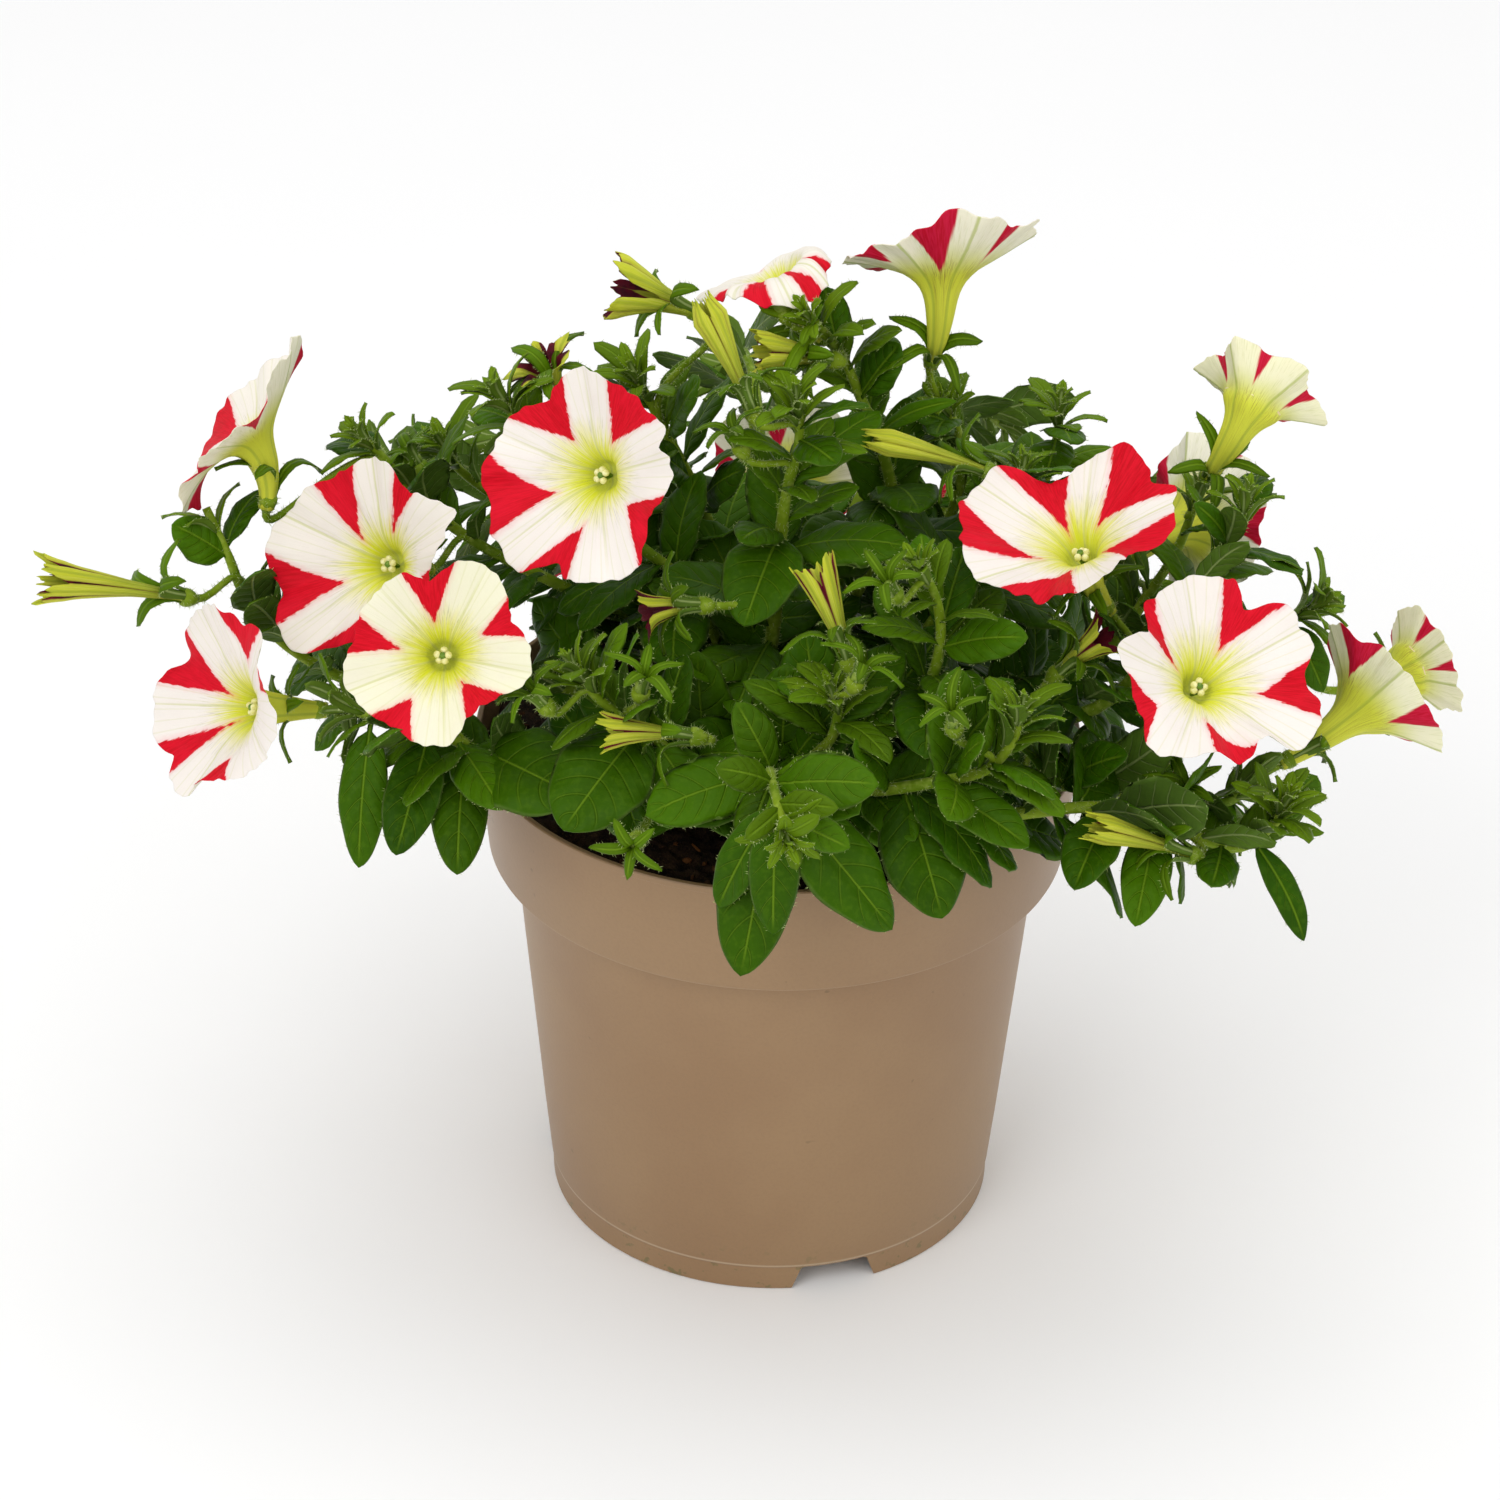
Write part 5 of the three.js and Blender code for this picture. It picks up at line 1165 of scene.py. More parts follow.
def add_calyx(skin, base, way, length, width, openness, random, own=""):
    """A cup with five narrow sepals, which rise along the tube and then bend outwards."""
    first = unit(cross(way, LEAF_REFERENCE))
    second = cross(way, first)
    heights, radii = np.array(CUP).T
    cup = base + way * heights[:, None]
    add_rod(skin, cup, radii, 12, (0.5, 0.4, 2), CALYX_SLOT, hairs=2 * STALK_HAIRS)
    start = random()
    for i in range(LOBES):
        angle = 2 * math.pi * (i + start + 0.25 * (random() - 0.5)) / LOBES
        out = first * math.cos(angle) + second * math.sin(angle)
        slant = math.radians(openness + 22 * (random() - 0.5))
        foot = base + way * 2.6 + out * 1.7
        reach = length * (0.85 + 0.3 * random())
        tip = foot + (way * math.cos(slant) + out * math.sin(slant)) * reach
        face = across_to(way - out * 0.3, unit(tip - foot))
        leaf = {"base": foot, "tip": tip, "width": width * (0.85 + 0.3 * random()),
                "arch": 0.85 * reach, "face": face, "kind": "sepal"}
        add_young_leaf(skin, leaf, random, 0.35, own)


def add_rosette(skin, base, way, scale, random):
    """The bunch of young leaves at a growing tip."""
    first = unit(cross(way, LEAF_REFERENCE))
    second = cross(way, first)
    turn = 360 * random()
    for i in range(ROSETTE_LEAVES):
        inner = i / (ROSETTE_LEAVES - 1)
        angle = math.radians(turn + GOLDEN_ANGLE * i + 20 * (random() - 0.5))
        out = first * math.cos(angle) + second * math.sin(angle)
        slant = math.radians(68 - 58 * inner + 16 * (random() - 0.5))
        reach = ROSETTE_LONGEST + (ROSETTE_SHORTEST - ROSETTE_LONGEST) * inner
        reach = scale * reach * (0.85 + 0.3 * random())
        foot = base - way * 9 * scale * (1 - inner) + out * 0.8
        tip = foot + (way * math.cos(slant) + out * math.sin(slant)) * reach
        face = across_to(way - out * 0.2, unit(tip - foot))
        leaf = {"base": foot, "tip": tip, "width": reach * (0.27 + 0.08 * random()),
                "arch": 0.3 * reach, "face": face, "kind": "young"}
        add_young_leaf(skin, leaf, random, 0.62 + 0.38 * inner)


def add_stalk(skin, stem, base, way):
    """A thin stalk that leaves the stem smoothly and ends at base."""
    start_share = nearest_along(stem, base)
    start = on_stem(stem, start_share)
    reach = math.dist(start, base) * STALK_EASE
    line = Bow(start, start + stem["curve"].tangent(start_share) * reach, base - way * reach, base)
    shares = np.linspace(0, 1, max(6, int(line.length() / 3)) + 1)
    radii = 1.05 + 0.35 * shares ** 4 + 0.5 * (1 - shares) ** 8
    add_rod(skin, [line.point(t) for t in shares], radii, 8, (0.6, 0.55, 1), STEM_SLOT, hairs=STALK_HAIRS)


def stem_skin(stem):
    """A stem with its leaves, growing tip, twigs and flower stalks."""
    skin = Skin()
    random = random_source(STEM_SEED + stem["seed"])
    count = int(stem["curve"].length() / 4)
    shares = np.linspace(0, 1, count + 1)
    radii = stem["radius"] + (STEM_TIP_RADIUS - stem["radius"]) * shares
    radii = radii * (1 + 0.04 * np.sin(shares * count * 0.9 + stem["seed"]))
    points = [stem["curve"].point(t) for t in shares]
    add_rod(skin, points, radii, 12, (0.4, 0.3, 2), STEM_SLOT, hairs=STEM_HAIRS)
    for leaf in stem_leaves[stem["name"]]:
        if leaf["arch"] > SLIM_ARCH:
            leaf = dict(leaf, width=leaf["width"] * SLIM_SHARE)
        youth = leaf.get("youth", 0.15 * random())
        add_leaf(skin, clear_of_wall(leaf), random, LEAF_SLOT, 0.6 * youth, LARGE_LEAF_HAIRS)
    add_rosette(skin, points[-1], stem["curve"].tangent(1), 0.85 + 0.25 * random(), random)
    for twig in twigs:
        if twig["stem"] == stem["name"]:
            base, way = twig["base"], twig["way"]
            add_stalk(skin, stem, base, way)
            add_calyx(skin, base, way, 0.95 * twig["length"], TWIG_SEPAL_WIDTH, 48, random)
            add_ball(skin, base + way * 5.5, way, 2.2, 6, (0.5, 0.8, 2), FRUIT_SLOT)
    for flower in flowers + faded_flowers:
        if flower["stem"] == stem["name"]:
            base, way = flower["line"].point(0), flower["line"].tangent(0)
            add_stalk(skin, stem, base, way)
            add_calyx(skin, base, way, SEPAL_LENGTH, SEPAL_WIDTH, 58, random, flower["name"])
    return skin


# Corollas

PETAL_SLOT, ANTHER_SLOT, STIGMA_SLOT = range(3)
PETAL_COLUMNS = 180
LIMB_ROWS = 10
WEDGE_FLARE = 1.15
ANTHER_DEPTH = 15
FULL_RADIUS = 30
FULL_LENGTH = 44
NO_LOOK = (0, 0, 0)

# Radius and height of a corolla of full size: the outside from the edge down to the foot, and the throat
FUNNEL = [
    (30, 0), (29.7, -0.1), (29.1, -0.3), (28.2, -0.6), (26.9, -1.1), (25.3, -1.7), (23.5, -2.4),
    (21.6, -3.2), (19.6, -4.1), (17.6, -5), (15.5, -6.1), (13.3, -7.3), (11.2, -8.6), (9.3, -10.1),
    (7.7, -11.7), (6.5, -13.4), (5.6, -15.3), (4.95, -17.4), (4.5, -19.6), (4.15, -22), (3.8, -24.6),
    (3.4, -27.4), (3.0, -30.4), (2.6, -33.6), (2.25, -37), (2.0, -40.5), (1.9, -44),
]
THROAT = [
    (15.5, -5.8), (13.4, -6.9), (11.4, -8.1), (9.4, -9.5), (7.7, -11), (6.4, -12.6), (5.3, -14.4),
    (4.5, -16.3), (3.9, -18), (3.2, -19.3), (2.2, -20.2), (0.9, -20.6),
]

# Waves round the edge, the rim and its frill: how many and how large
EDGE_WAVES = [(17, 0.006), (29, 0.007), (43, 0.005)]
RIM_WAVES = [(3, 1.1), (4, 0.9), (7, 0.6), (11, 0.4)]
FRILL_WAVES = [(23, 0.5), (37, 0.35)]


def smooth_step(low, high, value):
    """From 0 at low to 1 at high, smoothly."""
    share = np.clip((value - low) / (high - low), 0, 1)
    return share * share * (3 - 2 * share)


def smoothed(values, spread):
    """Values round a circle, each mixed with its neighbours."""
    away = np.minimum(np.arange(len(values)), len(values) - np.arange(len(values)))
    weights = np.exp(-(away / spread) ** 2)
    return np.real(np.fft.ifft(np.fft.fft(values) * np.fft.fft(weights / weights.sum())))


def waves_round(angles, waves, random):
    """The sum of waves round a circle, each shifted by chance."""
    total = np.zeros(len(angles))
    for count, size in waves:
        total += size * np.sin(np.radians(angles) * count + 6.28 * random())
    return total


def turned_from(angles, angle):
    """How far angles are from another, from -180 to 180."""
    return (angles - angle + 180) % 360 - 180


def wedge_depth(wedges, angles, share, radius):
    """How far inside the nearest red wedge a point is, in millimetres, and less than 0 outside."""
    depth = np.full(len(angles), -99.0)
    degree = math.radians(1) * radius
    for start, end, tip_angle, tip_share in wedges:
        opened = min(1, max(0, (share - tip_share) / (1 - tip_share))) ** WEDGE_FLARE
        off = turned_from(angles, tip_angle)
        if share > tip_share:
            to_end = (end - tip_angle) * opened - off * share
            to_start = off * share - (start - tip_angle) * opened
            inside = np.minimum(to_end, to_start) * degree
        else:
            inside = -np.hypot(off * degree * share, (tip_share - share) * radius)
        depth = np.maximum(depth, inside)
    return depth


class Rim:
    """How a flower changes round its rim: its lobes, its outline and where it rises or sags."""

    def __init__(self, flower, look, random):
        self.wedges = sorted(look["wedges"])
        sinus = np.array([(w[0] + w[1]) / 2 for w in self.wedges], float)
        self.angles = sinus[0] + np.arange(PETAL_COLUMNS) * 360 / PETAL_COLUMNS
        following = np.append(sinus, sinus[0] + 360)
        lobe = np.clip(np.searchsorted(following, self.angles, side="right") - 1, 0, LOBES - 1)
        self.width = np.diff(following)[lobe]
        self.phase = (self.angles - following[lobe]) / self.width
        outline = np.interp(self.angles, *np.array(look["edge"], float).T, period=360)
        self.outline = smoothed(outline, 1.1) + waves_round(self.angles, EDGE_WAVES, random)
        self.waves = look["ruffle"] * waves_round(self.angles, RIM_WAVES, random)
        self.frill = 0.5 * look["ruffle"] * waves_round(self.angles, FRILL_WAVES, random)
        self.folds = np.zeros(PETAL_COLUMNS)
        for angle, spread, lift in look["bends"]:
            self.folds += lift * np.exp(-(turned_from(self.angles, angle) / spread) ** 2)
        droop = np.clip(np.cos(np.radians(self.angles - flower["droop_side"])), 0, 1)
        self.sag = droop ** 2 * flower["droop"]
        off_sinus = np.where(self.phase > 0.5, 1 - self.phase, self.phase) * self.width
        vein = np.exp(-((self.phase - 0.5) * self.width / 2.5) ** 2)
        swell = np.sin(2 * math.pi * self.phase) ** 2
        self.valley = 1.1 * np.exp(-(off_sinus / 8) ** 2) + 0.7 * vein - 0.8 * swell


def corolla_rows():
    """Radius, height and side of each row: up the throat, over the edge and down the outside."""
    outside = np.array(FUNNEL, float)
    slopes = np.gradient(outside, axis=0)
    normals = units(np.stack([-slopes[:, 1], slopes[:, 0]], 1))
    thickness = np.interp(outside[:, 0], [2, 10, 28, 30], [0.5, 0.4, 0.32, 0.16])
    below = outside + normals * thickness[:, None]
    face = THROAT[::-1] + FUNNEL[LIMB_ROWS - 1::-1]
    return [(r, h, 1) for r, h in face] + [(r, h, -1) for r, h in below]


def add_corolla(skin, flower, look, seed):
    """A funnel with a wide rim of five lobes, with the stamens in its throat."""
    random = random_source(FLOWER_SEED + seed)
    rim = Rim(flower, look, random)
    line = flower["line"]
    c, s = np.cos(np.radians(rim.angles)), np.sin(np.radians(rim.angles))
    rings, marks, looks = [], [], []
    for radius, height, side in corolla_rows():
        share = radius / FULL_RADIUS
        t = max(0.0, 1 + min(0, height) / FULL_LENGTH)
        along = line.tangent(t) if t < 0.999 else flower["axis"]
        first = across_to(flower["first"], along)
        second = cross(along, first)
        limb = smooth_step(8, 20, radius)
        size = 1 + (flower["radius"] / FULL_RADIUS - 1) * smooth_step(7, 15, radius)
        pleat = 0.05 * np.cos(2 * math.pi * rim.phase) * (1 - limb)
        reach = radius * size * (1 + (rim.outline - 1) * limb * share + pleat)
        reach = reach - 0.45 * np.abs(rim.folds) * share ** 3
        lift = ((rim.waves + rim.folds) * share ** 3 + rim.frill * share ** 8
                - rim.valley * limb * share - rim.sag * share * share)
        rings.append(line.point(t) + first * (reach * c)[:, None] + second * (reach * s)[:, None]
                     + along * lift[:, None])
        wedge = wedge_depth(rim.wedges, rim.angles, share, flower["radius"])
        marks.append(np.stack(np.broadcast_arrays(wedge, share, side), -1))
        off_vein = np.radians(np.abs(rim.phase - 0.5) * rim.width) * reach
        looks.append(np.stack([off_vein, c, s], -1))
    skin.add(np.array(rings), np.array(marks, float), np.array(looks, float), PETAL_SLOT)
    add_stamens(skin, flower, random)


def add_stamens(skin, flower, random):
    """Five anthers on thin filaments, round a stigma on its style."""
    line = flower["line"]
    tip = 1 - ANTHER_DEPTH / FULL_LENGTH
    centre, along = line.point(tip), line.tangent(tip)
    first = across_to(flower["first"], along)
    second = cross(along, first)
    roots = [line.point(tip - 0.3), line.point(tip - 0.15)]
    for i in range(LOBES):
        angle = 2 * math.pi * (i + 0.4 * random()) / LOBES
        out = first * math.cos(angle) + second * math.sin(angle)
        place = centre + out * 1.7 + along * 1.4 * random()
        way = unit(along + first * (random() - 0.5))
        add_ball(skin, place, way, 1.15, 2.6, NO_LOOK, ANTHER_SLOT)
        add_rod(skin, [*roots, place], [0.3, 0.3, 0.35], 5, NO_LOOK, STIGMA_SLOT)
    add_ball(skin, centre + along * 1.5, along, 1.1, 1.6, NO_LOOK, STIGMA_SLOT)
    add_rod(skin, [*roots, centre + along], [0.35, 0.35, 0.4], 6, NO_LOOK, STIGMA_SLOT)


# Faded corollas

FURLED_COLUMNS = 80
# Share of the run and how thick the tube is there, up to the mouth
FURLED_SHAPE = [(0, 0.24), (0.12, 0.28), (0.4, 0.46), (0.65, 0.76), (0.82, 0.94)]
# Rows inside the mouth from deep in the tube to the edge, and outside from the edge to the foot
FURLED_INSIDE = [*np.linspace(0.45, 0.97, 11), *np.linspace(0.985, 1, 2)]
FURLED_OUTSIDE = [*np.linspace(1, 0.97, 2), *np.linspace(0.94, 0, 24)]


def add_furled(skin, faded):
    """A corolla that has folded up: five ribs with dark folds between them, and a ragged mouth."""
    random = random_source(FADED_SEED + faded["seed"])
    line, radius, split = faded["line"], faded["radius"], faded["split"]
    angles = 2 * math.pi * np.arange(FURLED_COLUMNS) / FURLED_COLUMNS
    place = LOBES * np.arange(FURLED_COLUMNS) / FURLED_COLUMNS
    phase, lobe = place % 1, place.astype(int)
    swell = np.sin(math.pi * phase)
    off_sinus = np.minimum(phase, 1 - phase)
    lengths = np.array([0.7 + 0.6 * random() for _ in range(LOBES)])[lobe]
    curls = np.array([0.5 + random() for _ in range(LOBES)])[lobe]
    ragged = 0.03 * np.sin(angles * 13 + 6 * random()) + 0.02 * np.sin(angles * 22 + 6 * random())
    notch = split * np.exp(-(np.minimum(angles, 2 * math.pi - angles) / 0.5) ** 2)
    edge = (0.86 + 0.13 * swell ** 0.6 * lengths) * (1 - notch) + ragged
    edge = edge - 0.2 * split * (1 - np.cos(angles)) + 0.16 * split
    squeeze = 1 - faded["flat"] * np.cos(2 * angles)
    to_eye = unit(EYE - line.point(0.5))
    shape = np.array([*FURLED_SHAPE, (1.0, 0.6 + 0.6 * faded["mouth"])])
    outer_dark = min(1, faded["dark"]) * (1 - 1.4 * split)
    rings, marks, looks = [], [], []
    for share, side in [(q, 1) for q in FURLED_INSIDE] + [(q, -1) for q in FURLED_OUTSIDE]:
        t = np.clip(share * edge, 0, 1.04)
        ends = np.clip((t - 0.7) / 0.3, 0, 1.3)
        pleat = 1 - 0.34 * (1 - swell ** 0.5) * np.clip(t * 2, 0, 1)
        grown = radius * np.interp(t, *shape.T) * pleat * squeeze ** np.clip(t * 1.5 - 0.3, 0, 1)
        grown = grown + radius * faded["spread"] * curls * ends ** 2 * (0.35 + 0.65 * swell)
        if side > 0:
            grown = grown - 0.35
            dark = faded["dark"] * 0.34 * np.clip((t - 0.3) / 0.4, 0, 1)
        else:
            dark = outer_dark * (0.04 + 0.24 * np.clip((t - 0.3) / 0.65, 0, 1) ** 1.3)
        alongs = np.array([line.tangent(min(1, q)) for q in t])
        beyond = np.maximum(t - 1, 0) * line.length() - radius * 0.35 * faded["spread"] * curls * ends ** 3
        centres = np.array([line.point(min(1, q)) for q in t]) + alongs * beyond[:, None]
        firsts = units(to_eye - alongs * (alongs @ to_eye)[:, None])
        seconds = np.cross(alongs, firsts)
        rings.append(centres + firsts * (grown * np.cos(angles))[:, None]
                     + seconds * (grown * np.sin(angles))[:, None])
        marks.append(np.stack(np.broadcast_arrays(dark - off_sinus, t, side), -1))
        looks.append(np.stack([np.abs(phase - 0.5), np.cos(angles), np.sin(angles)], -1))
    skin.add(np.array(rings), np.array(marks, float), np.array(looks, float), PETAL_SLOT)


# Materials


def srgb(red, green, blue):
    """A colour given as it shows on a screen, from 0 to 255, as the linear colour of a shader."""
    def linear(value):
        value /= 255
        return value / 12.92 if value <= 0.04045 else ((value + 0.055) / 1.055) ** 2.4
    return (linear(red), linear(green), linear(blue), 1)


class Nodes:
    """A node material, built by calls that each return the socket they make."""

    def __init__(self, name):
        self.material = bpy.data.materials.new(name)
        self.material.use_nodes = True
        self.tree = self.material.node_tree
        self.shader = self.tree.nodes["Principled BSDF"]

    def new(self, kind, *inputs, **settings):
        node = self.tree.nodes.new(kind)
        for key, value in settings.items():
            setattr(node, key, value)
        for socket, value in zip(node.inputs, inputs):
            self.put(socket, value)
        return node

    def put(self, socket, value):
        if value is None:
            return
        if isinstance(value, bpy.types.NodeSocket):
            self.tree.links.new(value, socket)
        else:
            socket.default_value = value

    def math(self, operation, *values, clamp=False):
        return self.new("ShaderNodeMath", *values, operation=operation, use_clamp=clamp).outputs[0]

    def times(self, a, b):
        return self.math("MULTIPLY", a, b)

    def plus(self, a, b):
        return self.math("ADD", a, b)

    def minus(self, a, b):
        return self.math("SUBTRACT", a, b)

    def larger(self, a, b):
        return self.math("MAXIMUM", a, b)

    def size(self, value):
        return self.math("ABSOLUTE", value)

    def linear(self, value, factor, start):
        return self.math("MULTIPLY_ADD", value, factor, start)

    def saw(self, value, count):
        """From 0 halfway between to 0.5 at each of a row of evenly spaced places."""
        return self.size(self.minus(self.math("FRACT", self.times(value, count)), 0.5))

    def shaken(self, value, noise, reach):
        """A value that a noise round a half moves up and down."""
        return self.linear(self.minus(noise, 0.5), reach, value)

    def fall(self, value, low, high):
        """From 1 at low to 0 at high, smoothly."""
        return self.minus(1.0, self.step(value, low, high))

    def step(self, value, low, high):
        """From 0 at low to 1 at high, smoothly."""
        node = self.new("ShaderNodeMapRange", value, interpolation_type="SMOOTHSTEP")
        self.put(node.inputs["From Min"], low)
        self.put(node.inputs["From Max"], high)
        return node.outputs[0]

    def mix(self, share, start, end):
        node = self.new("ShaderNodeMix", data_type="RGBA")
        self.put(node.inputs["Factor"], share)
        self.put(node.inputs[6], start)
        self.put(node.inputs[7], end)
        return node.outputs[2]

    def place(self):
        return self.new("ShaderNodeTexCoord").outputs["Object"]

    def noise(self, scale, detail=3.0, vector=None):
        node = self.new("ShaderNodeTexNoise")
        self.put(node.inputs["Vector"], self.place() if vector is None else vector)
        self.put(node.inputs["Scale"], scale)
        self.put(node.inputs["Detail"], detail)
        return node.outputs[0]

    def vector_of(self, name):
        """The three parts of a vector stored on the mesh."""
        node = self.new("ShaderNodeAttribute", attribute_name=name, attribute_type="GEOMETRY")
        parts = self.new("ShaderNodeSeparateXYZ", node.outputs["Vector"])
        return parts.outputs

    def joined(self, *values):
        return self.new("ShaderNodeCombineXYZ", *values).outputs[0]

    def bump(self, height, distance, strength=1.0):
        node = self.new("ShaderNodeBump")
        self.put(node.inputs["Strength"], strength)
        self.put(node.inputs["Distance"], distance * MM)
        self.put(node.inputs["Height"], height)
        self.tree.links.new(node.outputs[0], self.shader.inputs["Normal"])

    def finish(self, colour, roughness, **settings):
        self.put(self.shader.inputs["Base Color"], colour)
        self.put(self.shader.inputs["Roughness"], roughness)
        for name, value in settings.items():
            self.put(self.shader.inputs[name.replace("_", " ")], value)
        return self.material


def petal_material(name, yellow, cream, seed):
    """White with red wedges, a yellow throat and fine veins, and paler on its reverse."""
    n = Nodes(name)
    wedge, share, side = n.vector_of("mark")
    vein, c, s = n.vector_of("look")
    # Streaks that run from the throat outwards
    spoke = n.joined(n.times(c, 9.0), n.times(s, 9.0), n.linear(share, 0.9, seed))
    streak = n.noise(2.4, 4.0, spoke)
    fine = n.noise(6.5, 3.0, spoke)
    soft = n.noise(70.0, 3.0)
    edge = n.shaken(wedge, n.noise(450.0, 3.0), 1.5)
    edge = n.shaken(edge, fine, 1.6)
    red = n.step(edge, -0.3, 0.3)
    halo = n.step(edge, -2.2, 0.4)
    # Face
    white = n.mix(cream, srgb(238, 231, 226), srgb(234, 232, 204))
    white = n.mix(n.times(n.step(soft, 0.35, 0.7), 0.25), white, srgb(228, 219, 213))
    reach = n.shaken(share, streak, 0.5)
    glow = n.fall(reach, 0.2, 0.48 + 0.14 * yellow)
    white = n.mix(n.times(glow, 0.8), white, srgb(224, 222, 96))
    core = n.fall(reach, 0.14, 0.34 + 0.06 * yellow)
    white = n.mix(core, white, srgb(218, 222, 44))
    # Painted light: the floor of the throat is a pale yellow made lighter than its own colour, to make up
    # for the shade deep in the funnel
    throat_painted_light = n.fall(share, 0.1, 0.2)
    white = n.mix(throat_painted_light, white, srgb(226, 230, 96))
    dark_lines = n.times(n.step(fine, 0.56, 0.66), n.step(n.minus(0.62, share), 0.0, 0.2))
    white = n.mix(n.times(dark_lines, 0.35), white, srgb(120, 124, 40))
    rib = n.fall(vein, 0.15, 0.6)
    branch = n.saw(n.math("DIVIDE", vein, n.plus(share, 0.25)), 0.33)
    branch = n.times(n.fall(branch, 0.02, 0.1), 0.2)
    lines = n.larger(n.times(rib, 0.55), branch)
    face = n.mix(lines, white, srgb(196, 200, 120))
    crimson = n.mix(n.step(fine, 0.35, 0.7), srgb(214, 6, 34), srgb(190, 0, 22))
    crimson = n.mix(n.times(n.step(soft, 0.4, 0.75), 0.5), crimson, srgb(222, 18, 46))
    face = n.mix(n.times(halo, 0.28), face, srgb(236, 110, 135))
    face = n.mix(red, face, crimson)
    # Reverse
    outer = n.step(share, 0.3, 0.8)
    back = n.mix(outer, srgb(208, 212, 66), n.mix(cream, srgb(244, 240, 226), srgb(238, 236, 188)))
    back = n.mix(n.times(n.step(fine, 0.5, 0.7), 0.25), back, srgb(172, 178, 62))
    back_rib = n.fall(vein, 0.2, 0.75)
    back = n.mix(n.times(back_rib, 0.6), back, srgb(164, 180, 62))
    under = n.step(n.shaken(wedge, streak, 2.0), 0.1, 1.0)
    under_red = n.mix(n.step(fine, 0.35, 0.65), srgb(202, 26, 62), srgb(186, 10, 42))
    back = n.mix(under, back, under_red)
    run = n.times(n.step(wedge, -9.0, -1.0), n.step(fine, 0.54, 0.62))
    run = n.times(run, n.fall(share, 0.4, 0.6))
    back = n.mix(n.times(run, 0.5), back, srgb(120, 58, 50))
    colour = n.mix(n.step(side, -0.3, 0.3), back, face)
    relief = n.plus(n.times(fine, 0.6), n.times(lines, -0.5))
    n.bump(relief, 0.35, 0.6)
    return n.finish(colour, n.linear(soft, 0.2, 0.5), Specular_IOR_Level=0.12)


def faded_material():
    """Yellow green ribs with brown and maroon folds between them."""
    n = Nodes("faded_petal")
    band, share, _ = n.vector_of("mark")
    vein, c, s = n.vector_of("look")
    spoke = n.joined(n.times(c, 7.0), n.times(s, 7.0), n.times(share, 1.2))
    streak, fine, soft = n.noise(2.2, 4.0, spoke), n.noise(6.0, 3.0, spoke), n.noise(160.0, 3.0)
    body = n.mix(n.step(share, 0.2, 0.9), srgb(150, 166, 24), srgb(196, 202, 48))
    body = n.mix(n.times(n.step(streak, 0.42, 0.62), 0.5), body, srgb(212, 212, 92))
    rib = n.fall(vein, 0.03, 0.1)
    body = n.mix(n.times(rib, 0.5), body, srgb(140, 158, 36))
    # The folds between the ribs, brown below and maroon towards the mouth
    ragged = n.shaken(band, streak, 0.1)
    ragged = n.shaken(ragged, soft, 0.06)
    stain = n.step(ragged, -0.1, 0.01)
    body = n.mix(n.times(stain, 0.35), body, srgb(134, 92, 50))
    wine = n.mix(n.step(soft, 0.4, 0.7), srgb(104, 8, 32), srgb(56, 8, 24))
    wine = n.mix(n.step(share, 0.35, 0.65), srgb(128, 84, 54), wine)
    colour = n.mix(n.step(ragged, -0.02, 0.03), body, wine)
    n.bump(n.plus(fine, n.times(soft, 0.6)), 0.5, 0.7)
    return n.finish(colour, 0.6, Specular_IOR_Level=0.2)


def leaf_material():
    """Mid green with lighter veins, lighter where it is young and duller below."""
    n = Nodes("leaf")
    x, t, side = n.vector_of("mark")
    tint, youth, half = n.vector_of("look")
    off = n.size(x)
    soft, grain = n.noise(45.0, 3.0), n.noise(520.0, 2.0)
    colour = n.mix(tint, srgb(26, 60, 0), srgb(66, 106, 2))
    colour = n.mix(n.times(n.step(soft, 0.35, 0.7), 0.5), colour, srgb(54, 94, 0))
    colour = n.mix(n.times(youth, 0.85), colour, srgb(114, 142, 16))
    colour = n.mix(n.times(n.step(grain, 0.45, 0.7), 0.16), colour, srgb(90, 124, 20))
    # Side veins leave the midrib at a slant and bend towards the tip
    run = n.linear(n.math("POWER", off, 1.25), -0.22, t)
    saw = n.saw(run, 6.5)
    vein = n.fall(saw, 0.02, 0.085)
    vein = n.times(vein, n.step(half, 2.0, 6.0))
    vein = n.times(vein, n.fall(off, 0.55, 0.95))
    across = n.times(off, half)
    midrib = n.fall(across, 0.15, 0.6)
    midrib = n.times(midrib, n.fall(t, 0.8, 1.0))
    lines = n.larger(n.times(midrib, 0.55), n.times(vein, 0.2))
    upper = n.mix(lines, colour, srgb(112, 144, 30))
    under = n.mix(0.5, colour, srgb(96, 120, 52))
    under = n.mix(n.larger(n.times(midrib, 0.8), n.times(vein, 0.35)), under, srgb(150, 168, 100))
    both = n.mix(n.step(side, -0.4, 0.4), under, upper)
    margin = n.times(n.step(off, 0.9, 1.0), 0.2)
    both = n.mix(margin, both, srgb(150, 168, 96))
    height = n.minus(n.times(grain, 0.35), n.larger(vein, midrib))
    puff = n.times(saw, n.step(half, 2.0, 6.0))
    n.bump(n.plus(height, puff), 0.5, 0.8)
    return n.finish(both, n.linear(soft, 0.15, 0.38), Specular_IOR_Level=0.06)


def stem_material():
    """Light green with a pale down."""
    n = Nodes("stem")
    soft, grain = n.noise(60.0, 3.0), n.noise(420.0, 3.0)
    colour = n.mix(n.step(soft, 0.35, 0.65), srgb(96, 124, 14), srgb(126, 150, 28))
    colour = n.mix(n.times(n.step(grain, 0.45, 0.75), 0.5), colour, srgb(160, 178, 76))
    n.bump(grain, 0.3, 0.7)
    return n.finish(colour, 0.55, Specular_IOR_Level=0.12, Sheen_Weight=0.2, Sheen_Roughness=0.3,
                    Sheen_Tint=srgb(235, 240, 215))


